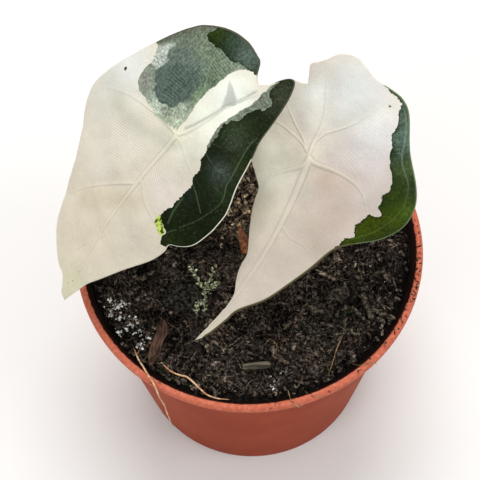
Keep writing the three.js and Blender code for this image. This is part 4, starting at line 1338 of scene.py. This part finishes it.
def crumbly():
    """The shared look of earth. A fine noise picks between Dark and Light, the piece's own tint
    multiplies that, and a second noise lays grains of the light tone over it."""
    effect, wanted, given = group("crumbly stuff", {
        "Dark": "NodeSocketColor", "Light": "NodeSocketColor", "Roughness": "NodeSocketFloat"})
    dark, light = wanted["Dark"], wanted["Light"]
    crumb = noise(effect, 900.0, 5.0, 0.7)
    grain = noise(effect, 1900.0, 3.0, 0.7, stretch=(1.0, 0.35, 1.0))
    tone = blend(effect, ramp(effect, crumb, 0.42, 0.68), dark, light)
    tone = blend(effect, 1.0, tone, attribute(effect, "tint", "Color"), "MULTIPLY")
    bright = blend(effect, 0.5, tone, light)
    tone = blend(effect, ramp(effect, grain, 0.55, 0.8), tone, bright)
    rough = scaled(effect, crumb, -0.3, wanted["Roughness"])
    normal = bump(effect, maths(effect, "ADD", crumb, grain), 0.0007)
    dress(effect, given, tone, rough, normal, "Colour")
    return effect


CRUMBLY = crumbly()


def earth(name, dark, light, roughness, shine):
    """A material with the shared look of earth."""
    return skinned(name, CRUMBLY, shine, Dark=dark, Light=light, Roughness=roughness)


SOIL_SKIN = earth("soil", paint(13, 9, 6), paint(99, 87, 78), 0.95, 0.06)
FLAKE_SKIN = earth("bark flakes", paint(20, 15, 11), paint(146, 134, 124), 0.7, 0.16)
print("crumbly look nodes:", len(CRUMBLY.nodes))

# %% [markdown]
# ## Soil body
# The body is turned like the pot, from its bed on the pot's floor up the wall and over the top,
# whose rings are then lifted to the soil's height. Its hollows are darkened with painted shade,
# and it is warmer between the stalks.
# %% Soil body
SOIL_RINGS, SOIL_SIDES, SOIL_EDGE, SOIL_BED = 150, 430, 56.1, FLOOR + 0.3
WARM_SPOT, WARM_RADIUS, WARM_TINT = (-2, 14), 17, (1.6, 1.4, 1.1, 1)


def soil_surface():
    """Places and faces of the turned body with its lumpy top."""
    rings = np.linspace(0, 1, SOIL_RINGS) ** 0.9 * SOIL_EDGE
    below = [(0, SOIL_BED), (20, SOIL_BED), (43, SOIL_BED), (43.6, 4), (54.2, 92.5)]
    top = np.stack([rings[::-1], np.full(SOIL_RINGS, SOIL_LEVEL)], 1)
    places, faces = turned(np.concatenate([below, top]), SOIL_SIDES)
    on_top = places[:, 2] > SOIL_LEVEL - 3
    places[on_top, 2] = soil_height(places[on_top, 0], places[on_top, 1])
    return places, faces


def soil_tints(places):
    """Tint of each point: warm near the warm spot, darker where it is damp, and darker where it is
    low, which is painted shade in the hollows. The tint for height is 0.62 + 0.75 (height over the level -
    0.2)."""
    x, y, z = places.T
    away = (x - WARM_SPOT[0]) ** 2 + (y - WARM_SPOT[1]) ** 2
    warm = np.exp(-(away / WARM_RADIUS**2))[:, None]
    tints = np.ones((len(places), 4)) * (1 - warm) + warm * np.array(WARM_TINT)
    # Painted shade: the lower the soil, the darker its tint.
    hollow_shade = np.clip(0.62 + 0.75 * (z - SOIL_LEVEL - 0.2), 0.1, 1.4)
    tints[:, :3] *= hollow_shade[:, None] * damp(x, y)
    return tints


soil_places, soil_faces = soil_surface()
soil_colours = {"tint": soil_tints(soil_places)}
soil = build("soil_body", soil_places, soil_faces, SOIL_SKIN, "soil", colours=soil_colours)
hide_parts("soil")

# %% [markdown]
# ## Many copies of one shape
# One small shape of twenty faces is copied many times, each copy turned, stretched and moved by
# its own random numbers. The copies go into one mesh, so they are one piece that the soil
# carries.
# %% Turns and copies


def random_turns(rng, count):
    """Rotation matrices with random directions, from random unit quaternions."""
    q = rng.normal(size=(count, 4))
    w, x, y, z = (q / np.linalg.norm(q, axis=1)[:, None]).T
    rows = [1 - 2 * (y * y + z * z), 2 * (x * y - z * w), 2 * (x * z + y * w),
            2 * (x * y + z * w), 1 - 2 * (x * x + z * z), 2 * (y * z - x * w),
            2 * (x * z - y * w), 2 * (y * z + x * w), 1 - 2 * (x * x + y * y)]
    return np.stack(rows, -1).reshape(count, 3, 3)


def flat_turns(rng, count):
    """Turns about the upright axis, then a small turn about a level axis (kx, ky, 0), for
    pieces that lie flat."""
    yaw = upright_turns(rng.uniform(0, 2 * np.pi, count))
    lean, heading = rng.normal(0, 0.28, count), rng.uniform(0, 2 * np.pi, count)
    kx, ky = np.cos(heading), np.sin(heading)
    c, s, v = np.cos(lean), np.sin(lean), 1 - np.cos(lean)
    tilt = np.stack([c + kx * kx * v, kx * ky * v, ky * s,
                     kx * ky * v, c + ky * ky * v, -kx * s,
                     -ky * s, kx * s, c], -1)
    return tilt.reshape(count, 3, 3) @ yaw


def disc_places(rng, count, reach):
    """Places spread evenly over a disc: the radius is reach times the root of a random share."""
    radius = reach * np.sqrt(rng.uniform(0, 1, count))
    angle = rng.uniform(0, 2 * np.pi, count)
    return radius * np.cos(angle), radius * np.sin(angle)


def copies(shape, faces, turns, scales, centres, rng, jitter):
    """shape, moved point by point at random by jitter, scaled, turned and moved for each copy."""
    rough = shape[None] * (1 + rng.uniform(-jitter, jitter, (len(scales), len(shape), 1)))
    placed = np.einsum("nij,nkj->nki", turns, rough * scales[:, None]) + centres[:, None]
    offset = np.arange(len(scales))[:, None, None] * len(shape)
    return placed.reshape(-1, 3), (faces[None] + offset).reshape(-1, faces.shape[1])


def tinted(tone, points):
    """Each copy's tint for all of its points, opaque."""
    opaque = np.column_stack([tone, np.ones(len(tone))])
    return {"tint": np.repeat(opaque, points, axis=0)}


PHI = (1 + 5**0.5) / 2
ICO = np.array([(-1, PHI, 0), (1, PHI, 0), (-1, -PHI, 0), (1, -PHI, 0), (0, -1, PHI), (0, 1, PHI),
                (0, -1, -PHI), (0, 1, -PHI), (PHI, 0, -1), (PHI, 0, 1), (-PHI, 0, -1), (-PHI, 0, 1)]) / 1.9
ICO_FACES = np.array([(0, 11, 5), (0, 5, 1), (0, 1, 7), (0, 7, 10), (0, 10, 11), (1, 5, 9), (5, 11, 4),
                      (11, 10, 2), (10, 7, 6), (7, 1, 8), (3, 9, 4), (3, 4, 2), (3, 2, 6), (3, 6, 8),
                      (3, 8, 9), (4, 9, 5), (2, 4, 11), (6, 2, 10), (8, 6, 7), (9, 8, 1)])
print("one grain has", len(ICO), "corners and", len(ICO_FACES), "faces")

# %% [markdown]
# ## Crumbs and flakes
# Peat breaks into rough crumbs, and shredded bark into flakes that lie flat. Both
# are the same grain, stretched in other ways. Pale flakes lie thickest between the stalks.
# %% Crumbs and flakes
CRUMB_REACH = 55.0


def crumbs(name, count, size, form, tones, seed, skin, lift=0.1, place=None, ragged=0.25):
    """Irregular grains in one mesh. size is the smallest and largest length, form the width and
    thickness as a share of it, and lift the height of the middle. place gives other spots than
    the whole soil, and ragged is how far each corner may stray."""
    rng = np.random.default_rng(seed)
    x, y = disc_places(rng, count, CRUMB_REACH) if place is None else place(rng, count)
    scale = size[0] + (size[1] - size[0]) * rng.uniform(0, 1, count) ** 2.2
    vary = rng.uniform(0.7, 1.3, (count, 2))
    stretch = np.stack([scale, scale * form[0] * vary[:, 0], scale * form[1] * vary[:, 1]], 1)
    centres = np.stack([x, y, soil_height(x, y) + lift * scale], 1)
    turns = random_turns(rng, count) if form[1] > 0.5 else flat_turns(rng, count)
    places, faces = copies(ICO, ICO_FACES, turns, stretch * 0.5, centres, rng, ragged)
    tone = np.array(tones)[rng.integers(0, len(tones), count)] * rng.uniform(0.45, 1.5, (count, 1))
    if skin in (SOIL_SKIN, FLAKE_SKIN):
        tone *= damp(x, y)
    return build(name, places, faces, skin, "soil", smooth=False, colours=tinted(tone, len(ICO)))


def between_stalks(rng, count):
    """Places round the middle of the gap between the two stalks."""
    return rng.normal(-2, 5, count), rng.normal(14, 10, count)


DARK_TONES = [(0.9, 0.88, 0.85), (1.3, 1.2, 1.1), (0.6, 0.6, 0.6), (1.8, 1.68, 1.5)]
CHIP_TONES = [(1.2, 1.1, 1.0), (0.7, 0.68, 0.66), (1.6, 1.5, 1.35), (0.5, 0.5, 0.5),
              (1.0, 0.94, 0.86)]
PALE_TONES = [(2.0, 1.7, 1.2), (1.3, 1.15, 0.85), (2.8, 2.4, 1.6), (1.0, 0.9, 0.7)]
crumbs("soil_crumbs", 3200, (0.5, 2.3), (0.85, 0.75), DARK_TONES, 11, SOIL_SKIN)
crumbs("soil_flakes", 1700, (1.2, 4.6), (0.42, 0.14), CHIP_TONES, 12, FLAKE_SKIN, lift=0.12)
crumbs("gap_flakes", 260, (1.0, 4.4), (0.5, 0.2), PALE_TONES, 13, FLAKE_SKIN, lift=0.25,
       place=between_stalks)

# %% [markdown]
# ## Pieces laid one by one
# A few chips of bark are large enough to be known one by one. Each is given by its middle, its
# length and width, its heading on the soil in degrees, and how pale it is.
# %% Laid chips
LAID = np.array((
    (39.4, -23.4, 9.6, 2.3, -75, 0.8), (44.8, -26.4, 8.0, 1.7, -28, 0.85), (36.2, -26.0, 6.0, 1.3, -50, 0.8),
    (26.0, -11.2, 7.4, 1.3, -30, 2.3), (32.4, -15.2, 1.9, 1.0, 70, 3.6), (10.3, -42.6, 8.6, 1.2, -32, 0.9),
    (-4.7, 9.0, 3.0, 2.5, 20, 4.2), (-9.4, 2.5, 4.6, 0.9, 84, 3.6), (-6.4, 13.8, 2.2, 1.3, 40, 4.0),
    (-27.4, -8.6, 8.4, 3.4, -20, 0.5), (-35.0, -9.4, 6.5, 1.5, 35, 0.7), (21.4, -53.6, 3.6, 0.5, -80, 0.6),
    (30.0, -18.5, 7.0, 4.6, 10, 0.5), (18.0, -36.0, 6.0, 1.2, 55, 0.8), (-8.0, -38.0, 5.0, 1.3, -60, 0.7),
    (46.5, -12.0, 6.0, 1.5, -70, 1.0), (14.0, -28.0, 7.0, 1.6, 25, 0.7), (-44.0, -8.0, 5.5, 1.4, 60, 0.8),
    (3.0, -30.0, 6.5, 1.8, 15, 0.6), (26.0, -30.0, 5.6, 1.1, -15, 0.9), (-20.0, -34.0, 6.0, 1.2, 30, 0.7),
))


def rounded(size, power, rows, columns, seed, rough):
    """A superellipsoid: cosines and sines of the two angles raised to a power below one square
    the ball off. Random heights of the given share of the size make it rough."""
    v = np.linspace(-np.pi / 2, np.pi / 2, rows)[:, None]
    u = np.linspace(0, 2 * np.pi, columns, endpoint=False)[None]

    def bent(value):
        return np.sign(value) * np.abs(value) ** power

    level = bent(np.cos(v))
    ball = np.stack([level * bent(np.cos(u)), level * bent(np.sin(u)), bent(np.sin(v)) + 0 * u], -1)
    ball = ball.reshape(-1, 3)
    kept, faces = weld(ball, grid_faces(rows, columns, True))
    x, y, z = ball[kept].T
    wave = value_noise(x * 3 + z, y * 3 - z * 2, 1.0, seed)
    wave += 0.6 * value_noise(x * 8 + 2 * z, y * 8 + z, 1.0, seed + 1)
    return ball[kept] * (1 + rough * wave[:, None]) * np.array(size), faces


def laid_chips(name, rows, skin, seed):
    """One rough squared-off ball for each row, stretched, turned to its heading and laid down."""
    rng = np.random.default_rng(seed)
    x, y, length, width, heading, pale = rows.T
    turns = upright_turns(np.radians(heading))
    sizes = np.stack([length, width, 0.35 * width + 0.2], 1) * 0.52
    centres = np.stack([x, y, soil_height(x, y) + 0.5], 1)
    ball, ball_faces = rounded((1, 1, 1), 0.6, 14, 20, 1, 0.12)
    places, faces = copies(ball, ball_faces, turns, sizes, centres, rng, 0.04)
    tone = pale[:, None] * (1.0, 0.93, 0.78)
    return build(name, places, faces, skin, "bark", colours=tinted(tone, len(ball)))


laid_chips("laid_chips", LAID, FLAKE_SKIN, 31)

# %% [markdown]
# ## Fibres
# Coir and dead roots lie all over the compost as short bent threads. Each has only seven
# cross-sections of three points, as it is less than a millimetre thick, and only its colour and
# its direction are seen.
# %% Fibres
SECTIONS, CORNERS = 7, 3
# Radius within which the middles of the fibres lie, and within which all of them stays.
FIBRE_REACH, FIBRE_LIMIT = 52.0, 53.5


def fibre_paths(rng, count, length, rise):
    """Middles, centre lines and headings of bent threads: each is a parabola with a random bend
    over the soil, with a hump of its own and a slight slope."""
    x, y = disc_places(rng, count, FIBRE_REACH)
    size = rng.uniform(*length, count)
    heading, bend = rng.uniform(0, 2 * np.pi, count), rng.normal(0, 0.35, count)
    t = np.linspace(-0.5, 0.5, SECTIONS)[None]
    along = size[:, None] * t
    aside = size[:, None] * bend[:, None] * (t**2 * 2 - 0.2)
    px = x[:, None] + along * np.cos(heading)[:, None] - aside * np.sin(heading)[:, None]
    py = y[:, None] + along * np.sin(heading)[:, None] + aside * np.cos(heading)[:, None]
    hump = rng.uniform(0, rise, count)[:, None] * size[:, None] * 0.3 * (0.25 - t**2) * 4
    pz = soil_height(px, py) + 0.15 + hump + rng.normal(0, 0.04, count)[:, None] * along
    within = np.clip(FIBRE_LIMIT / np.maximum(np.hypot(px, py), 1e-6), 0, 1)
    return x, y, np.stack([px * within, py * within, pz], -1), heading


def fibres(name, count, length, thickness, tones, seed, skin, rise=0.5):
    """Thin bent threads: a three-sided section, which narrows to both ends as 1 - 0.7 |2 t|^3,
    is carried along each path."""
    rng = np.random.default_rng(seed)
    x, y, centre, heading = fibre_paths(rng, count, length, rise)
    t = np.linspace(-0.5, 0.5, SECTIONS)[None]
    half = (rng.uniform(*thickness, count) / 2)[:, None] * (1 - 0.7 * np.abs(2 * t) ** 3)
    side = np.stack([-np.sin(heading), np.cos(heading), 0 * heading], -1)[:, None, None]
    up = np.array((0, 0, 1.0))
    angle = np.radians([90, 210, 330])[:, None]
    spoke = np.cos(angle) * side + np.sin(angle) * up
    tube = centre[:, :, None] + spoke * half[:, :, None, None]
    last = (SECTIONS - 1) * CORNERS
    ends = [(0, 2, 1), (last, last + 1, last + 2)]
    one = np.concatenate([split(grid_faces(SECTIONS, CORNERS, True)), ends])
    points = SECTIONS * CORNERS
    faces = (one[None] + np.arange(count)[:, None, None] * points).reshape(-1, 3)
    picked = np.array(tones)[rng.integers(0, len(tones), count)]
    tone = picked * rng.uniform(0.7, 1.2, (count, 1)) * damp(x, y)
    return build(name, tube.reshape(-1, 3), faces, skin, "soil", colours=tinted(tone, points))


FIBRE_TONES = [(1.6, 1.48, 1.3), (0.9, 0.8, 0.7), (2.6, 2.45, 2.2), (0.6, 0.55, 0.5),
               (1.2, 1.15, 1.1)]
COARSE_TONES = [(0.8, 0.75, 0.7), (1.2, 1.12, 1.02), (0.5, 0.48, 0.46), (1.7, 1.62, 1.5)]
fibres("soil_fibres", 3200, (2.0, 8.5), (0.12, 0.38), FIBRE_TONES, 21, FLAKE_SKIN)
fibres("coarse_fibres", 460, (3.0, 10.0), (0.4, 0.85), COARSE_TONES, 22, FLAKE_SKIN, rise=0.2)

# %% [markdown]
# ## Look of bark, sheath and root
# Bark, the dried sheath and the roots all show fibres that run one way. They share one effect,
# in which the noise is drawn out along the piece, and differ in their colours and direction.
# %% Fibrous materials


def streaked():
    """The shared look of bark, sheath and root: a noise stretched along the piece picks between
    Dark and Light, and a coarser one darkens it in spots."""
    effect, wanted, given = group("streaked stuff", {
        "Dark": "NodeSocketColor", "Light": "NodeSocketColor", "Stretch": "NodeSocketVector",
        "Roughness": "NodeSocketFloat"})
    dark, light = wanted["Dark"], wanted["Light"]
    streak = noise(effect, 1100.0, 4.0, 0.65, stretch=wanted["Stretch"])
    mottle = noise(effect, 420.0, 3.0, 0.6)
    tone = blend(effect, ramp(effect, streak, 0.38, 0.66), dark, light)
    tone = glaze(effect, ramp(effect, mottle, 0.5, 0.75), 0.6, tone, dark)
    rough = scaled(effect, streak, -0.25, wanted["Roughness"])
    normal = bump(effect, scaled(effect, mottle, 0.5, streak), 0.0006)
    dress(effect, given, tone, rough, normal, "Colour")
    return effect


STREAKED = streaked()


def fibrous(name, dark, light, stretch, roughness):
    """A material with the shared streaks, drawn out along the axis whose stretch is small."""
    return skinned(name, STREAKED, 0.3, Dark=dark, Light=light, Stretch=stretch, Roughness=roughness)


print("fibrous material nodes:", len(STREAKED.nodes))

# %% [markdown]
# ## Lump, chip, twist and sheath
# The lump is a clod of wet peat, and the chip a flat bit of bark. Both are squared-off balls with
# rough skins, moved to where they lie. The twist is a strip of bark that has curled as it dried,
# and the dried sheath once wrapped a young leaf. Those two are tubes along a path.
# %% Placed pieces
PEAT = earth("wet peat", paint(8, 8, 7), paint(92, 88, 79), 0.75, 0.1)
LUMP_MIDDLE, CHIP_MIDDLE, CHIP_TURN = (-23.2, -18.2, 97.3), (1.3, -43.8, 97.1), 0.08
lump_places, lump_faces = rounded((6.3, 5.0, 2.2), 0.9, 90, 140, 7, 0.2)
lump_places = lump_places + LUMP_MIDDLE
lump_places[:, 2] += 0.5 * value_noise(lump_places[:, 0], lump_places[:, 1], 1.7, 9)
lump_places[:, 2] += 0.35 * value_noise(lump_places[:, 0], lump_places[:, 1], 0.7, 10)
lump_tint = {"tint": np.ones((len(lump_places), 4))}
lump = build("peat_clod", lump_places, lump_faces, PEAT, "soil", colours=lump_tint)
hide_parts("peat_lump")

CHIP_BARK = fibrous("pale bark", paint(44, 40, 31), paint(116, 108, 86), (0.12, 1.0, 1.0), 0.85)
chip_places, chip_faces = rounded((4.7, 1.15, 0.45), 0.35, 40, 80, 17, 0.05)
chip_places = chip_places @ upright_turns(np.array([CHIP_TURN]))[0].T + CHIP_MIDDLE
chip = build("bark_chip_piece", chip_places, chip_faces, CHIP_BARK, "bark")
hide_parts("bark_chip")

TWIST_BARK = fibrous("curled bark", paint(36, 24, 18), paint(116, 84, 66), (1.0, 0.12, 1.0), 0.85)
TWIST = ((-29.9, -26.2, 96.6), (-29.8, -30.2, 97.4), (-31.7, -34.5, 97.2), (-32.9, -38.8, 97.2),
         (-34.2, -42.4, 96.4))
twist_limb = limb(TWIST, (0.7, 1.75, 1.5, 1.75, 0.6), 44, 110, 0.13, 5)
twist = build("bark_twist_piece", *twist_limb, TWIST_BARK, "bark")
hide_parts("bark_twist")

SHEATH_SKIN = fibrous("dried sheath", paint(112, 58, 36), paint(178, 118, 78), (1.0, 1.0, 0.12), 0.7)
SHEATH = ((-0.6, -2.6, 92), (-1.2, -1.2, 97), (-2, 1, 102.5), (-3.2, 3.4, 107))
sheath_limb = limb(SHEATH, (1.1, 1.8, 1.4, 0.4), 36, 70, 0.07, 8)
sheath = build("old_sheath_piece", *sheath_limb, SHEATH_SKIN, "sheath")
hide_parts("old_sheath")

# %% [markdown]
# ## Roots
# Two pale surface roots run over the compost at the left front, and one of them goes over the
# lip and down outside. They are thin tubes that narrow to their ends.
# %% Roots
ROOT_SKIN = fibrous("root", paint(186, 124, 84), paint(236, 208, 168), (0.5, 0.5, 0.2), 0.7)
STRAND = (
    (-39.4, -36.4, 96.3), (-37.9, -40.4, 97.3), (-36, -44, 98.7), (-34.5, -46.9, 99.45),
    (-32.9, -49.4, 99.4), (-31.8, -51.6, 98.2), (-30.9, -53.2, 94.6), (-29.8, -53.7, 88.5),
    (-29.3, -53.8, 79), (-28.2, -54.2, 68.2),
)
STRAND_RADII = (0.15, 0.26, 0.3, 0.3, 0.3, 0.28, 0.25, 0.25, 0.22, 0.1)
strand = build("root_strand_piece", *limb(STRAND, STRAND_RADII, 14, 160, 0.03, 2), ROOT_SKIN, "root")
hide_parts("root_strand")
GROUND_LINE = np.array((
    (-30.4, -41.8), (-27.2, -44.6), (-24.1, -46.3), (-21.5, -47.1), (-17.5, -51.1), (-15.2, -53.2),
    (-12, -54.4), (-8, -54.9),
))
GROUND_RADII = (0.2, 0.28, 0.3, 0.32, 0.32, 0.3, 0.26, 0.12)
ground_path = np.column_stack([GROUND_LINE, soil_height(*GROUND_LINE.T) + 0.85])
build("ground_root", *limb(ground_path, GROUND_RADII, 14, 120, 0.03, 4), ROOT_SKIN, "root")

# %% [markdown]
# ## Rootlets
# Finer and browner rootlets lie on the compost or stick out over the lip. Each is a line with
# heights over the soil, or past the soil's edge over the pot's shoulder.
# %% Rootlets
YELLOW_ROOT = fibrous("thin rootlets", paint(92, 70, 44), paint(168, 138, 96), (0.5, 0.5, 0.2), 0.8)
ROOTLET_RADIUS, EDGE_RADIUS, EDGE_HEIGHT = 0.17, 54, 95.3
ROOTLETS = (
    ((30.3, -34, 1.4), (29.2, -36.6, 1.7), (28, -39.3, 1.0), (26.8, -43, 0.6), (25.4, -46.4, 0.5),
     (23.9, -49.2, 0.4)),
    ((11.4, -52.6, 1.6), (11.9, -55.6, 3.4), (12.5, -57.4, 4.2), (14.7, -59.3, 3.8), (16.3, -58.6, 4.3)),
    ((17, -53, 1.6), (18.4, -55.2, 3.2), (20.4, -56, 4.2), (22.6, -55.8, 4.3)),
    ((33, -44, 1.6), (36, -45.4, 3.6), (39.4, -44.6, 4.4), (41, -45.4, 4.2)),
    ((-36.9, -33, 0.6), (-34.2, -37.5, 0.7), (-37.1, -41, 0.5)),
    ((6, -34, 0.5), (8.4, -36.4, 0.9), (8, -39.6, 0.7), (9.6, -42.4, 0.4)),
)
for number, line in enumerate(ROOTLETS):
    x, y, over = np.array(line).T
    base = np.where(np.hypot(x, y) > EDGE_RADIUS, EDGE_HEIGHT, soil_height(x, y))
    path = np.column_stack([x, y, base + over])
    radii = np.full(len(line), ROOTLET_RADIUS) * np.array([0.5] + [1] * (len(line) - 2) + [0.4])
    build(f"rootlet_{number + 1}", *limb(path, radii, 8, 60, 0.0, number), YELLOW_ROOT, "root")

# %% [markdown]
# ## Perlite and moss
# White perlite grains help the soil drain, and moss tints the compost green near the rim. Both
# are the same grains as the crumbs, most of them scattered round a few listed spots.
# %% Perlite and moss
GRAIN_LIMIT = 54.0


def around(spots, spread):
    """Places scattered round a few given spots, none further out than the soil."""
    spots = np.array(spots, float)

    def place(rng, count):
        pick = spots[rng.integers(0, len(spots), count)] + rng.normal(0, spread, (count, 2))
        within = np.clip(GRAIN_LIMIT / np.maximum(np.hypot(*pick.T), 1e-6), 0, 1)[:, None]
        return tuple((pick * within).T)

    return place


PERLITE = earth("perlite", paint(228, 228, 220), paint(252, 252, 246), 0.95, 0.3)
MOSS = earth("moss", paint(26, 36, 22), paint(86, 100, 66), 1.0, 0.1)
PLAIN_TONE, MOSS_TONES = [(1, 1, 1)], [(0.7, 0.8, 0.7), (1.2, 1.2, 1)]
LEFT_SPECKS = ((-48, -19), (-45, -20), (-43.1, -20), (-44.4, -24.8), (-41.7, -27.4), (-37.6, -29.4),
               (-34.9, -32.4), (-39.3, -26.4), (-47.9, -22.4), (-45, -29.9), (-36.9, -34.9))
FRONT_SPECKS = ((9.4, -45.9), (6.7, -47.9), (6.2, -51.4))
MOSS_SPOTS = ((-29, -43.6), (-25.8, -47.4), (-19.6, -51), (-34, -40), (32, -27.4), (17, -30), (27, -33))
crumbs("perlite_left", 400, (0.2, 1.25), (0.7, 0.5), PLAIN_TONE, 41, PERLITE, lift=0.4,
       place=around(LEFT_SPECKS, 0.9), ragged=0.5)
crumbs("perlite_front", 22, (0.3, 1.7), (0.7, 0.6), PLAIN_TONE, 42, PERLITE, lift=0.35,
       place=around(FRONT_SPECKS, 0.7), ragged=0.5)
crumbs("perlite_rest", 60, (0.2, 0.7), (0.7, 0.6), PLAIN_TONE, 43, PERLITE, lift=0.35)
crumbs("moss_tufts", 520, (0.3, 1.0), (0.7, 0.5), MOSS_TONES, 44, MOSS, lift=0.2,
       place=around(MOSS_SPOTS, 1.7))

# %% [markdown]
# ## Dirt on the lip
# A pot that has been handled has crumbs on its lip. They are the same small grains, laid on the
# top of the lip by angle and radius, and thickest on the right side.
# %% Lip dirt
LIP_GRAINS, LIP_TOP, LIP_TINT = 150, 98.95, (1.6, 1.2, 1.0, 1)


def dirt_on_lip():
    """Crumbs on the lip's top: four in five lie about one spot on its right side."""
    rng = np.random.default_rng(45)
    count = LIP_GRAINS
    on_right = rng.uniform(0, 1, count) < 0.8
    angle = np.radians(np.where(on_right, rng.normal(-22, 17, count), rng.uniform(-180, 60, count)))
    radius = rng.uniform(57.9, 59.4, count)
    scale = (0.14 + 0.95 * rng.uniform(0, 1, (count, 1)) ** 3) * np.array((1.5, 0.7, 0.35))
    lifted = LIP_TOP + 0.15 * scale[:, 2]
    centres = np.stack([radius * np.cos(angle), radius * np.sin(angle), lifted], 1)
    places, faces = copies(ICO, ICO_FACES, flat_turns(rng, count), scale * 0.5, centres, rng, 0.5)
    tint = np.ones((len(places), 4)) * LIP_TINT
    return build("lip_dirt", places, faces, SOIL_SKIN, "soil", smooth=False, colours={"tint": tint})


dirt_on_lip()

# %% [markdown]
# ## A tiny weed
# The weed creeps over the soil in the middle of the pot. Its stems are tubes along drawn
# lines, and its leaves the same small lens many times over, in pairs along the stems, each with
# its own size, nod and tint.
# %% A tiny weed
WEED_GREEN = earth("weed leaf", paint(156, 166, 116), paint(238, 240, 216), 0.8, 0.2)
WEED_STEMS = (
    ((-15.6, -24.6), (-15.5, -19), (-15.2, -15.2), (-13.2, -11.5), (-12.6, -8.6)),
    ((-15.2, -17), (-17.2, -13.6), (-18.6, -10.2), (-19.6, -7.4)),
    ((-15.5, -20), (-17.4, -21.6), (-18.6, -24)),
    ((-15.3, -16), (-12.6, -14.6), (-11.2, -13)),
)


def weed_stem(number, stem):
    """One creeping stem: a thin tube over the soil, arched a little. Returns its path."""
    line = smooth_line(np.array(stem, float), 60)
    lift = soil_height(*line.T) + 1.3 + 0.8 * np.sin(np.linspace(0, np.pi, 61))
    path = np.column_stack([line, lift])
    places, faces = limb(path[::10], (0.12, 0.2, 0.2, 0.2, 0.2, 0.16, 0.08), 8, 40, 0, 1)
    tint = {"tint": np.full((len(places), 4), 0.6)}
    build(f"weed_stem_{number + 1}", places, faces, WEED_GREEN, "stalk", colours=tint)
    return path


def weed():
    """Leaves in facing pairs along the creeping stems, each a flat pointed lens."""
    rng = np.random.default_rng(51)
    spots, headings = [], []
    for number, stem in enumerate(WEED_STEMS):
        path = weed_stem(number, stem)
        step = path[3::4] if number == 0 else path[4::5]
        ahead = np.arctan2(*(path[-1, :2] - path[0, :2])[::-1])
        for sign in (-1, 1):
            spots.append(step + rng.normal(0, 0.3, step.shape))
            headings.append(ahead + sign * rng.uniform(0.6, 1.3, len(step)))
    spots, headings = np.concatenate(spots), np.concatenate(headings)
    count = len(spots)
    size = rng.uniform(0.35, 1.35, count)
    nod = rng.uniform(-0.5, 0.3, count)
    nods = np.tile(np.eye(3), (count, 1, 1))
    nods[:, 0, 0] = nods[:, 2, 2] = np.cos(nod)
    nods[:, 0, 2] = np.sin(nod)
    nods[:, 2, 0] = -np.sin(nod)
    forward = np.stack([np.cos(headings), np.sin(headings), -np.sin(nod)], 1)
    centres = spots + forward * size[:, None] * 0.5
    stretch = np.stack([size, size * 0.55, size * 0.16], 1) * 0.55
    turns = upright_turns(headings) @ nods
    places, faces = copies(ICO, ICO_FACES, turns, stretch, centres, rng, 0.35)
    tone = np.repeat(rng.uniform(0.6, 1.8, (count, 1)), 3, 1)
    return build("weed_leaves", places, faces, WEED_GREEN, "blade", colours=tinted(tone, len(ICO)))


weed()

# %% [markdown]
# ## Floor and light
# The plant stands on a plain pale floor. The photo's light is soft and comes from above and
# behind, as from a window over a potting bench, so the key is a large lamp there. Two dimmer
# ones, in front and on the right, keep the pot's wall and the shaded leaf readable.
# %% Floor and lamps
floor_mesh = bpy.data.meshes.new("floor")
floor_mesh.from_pydata([(-4, -4, 0), (4, -4, 0), (4, 4, 0), (-4, 4, 0)], [], [(0, 1, 2, 3)])
floor_material, floor_tree, floor_shader = material("floor")
floor_shader.inputs["Base Color"].default_value = (0.86, 0.86, 0.85, 1)
floor_shader.inputs["Roughness"].default_value = 0.85
floor_mesh.materials.append(floor_material)
floor = bpy.data.objects.new("floor", floor_mesh)
bpy.context.scene.collection.objects.link(floor)


def lamp(name, place, aim, size, power, tone):
    """A round area lamp at a place in metres, turned so that it shines at its aim."""
    light = bpy.data.lights.new(name, "AREA")
    light.shape, light.size, light.energy, light.color = "DISK", size, power, tone
    item = bpy.data.objects.new(name, light)
    back = unit(np.array(place) - np.array(aim))
    right = unit(np.cross((0, 0, 1.0), back))
    up = np.cross(back, right)
    item.matrix_world = Matrix.Translation(place) @ Matrix((right, up, back)).transposed().to_4x4()
    bpy.context.scene.collection.objects.link(item)
    print(name, power, "W")


lamp("key", (0.0, 0.35, 1.0), (0, 0, 0.1), 0.6, 6.0, (1.0, 0.99, 0.97))
lamp("front", (-0.6, -0.6, 0.75), (0, 0, 0.1), 0.6, 2.4, (1.0, 0.98, 0.96))
lamp("side", (0.8, -0.3, 0.8), (0, 0, 0.1), 0.6, 2.8, (1.0, 0.98, 0.96))
world = bpy.data.worlds.new("world")
world.use_nodes = True
world.node_tree.nodes["Background"].inputs[0].default_value = (1.0, 1.0, 1.0, 1)
world.node_tree.nodes["Background"].inputs[1].default_value = 0.56
bpy.context.scene.world = world
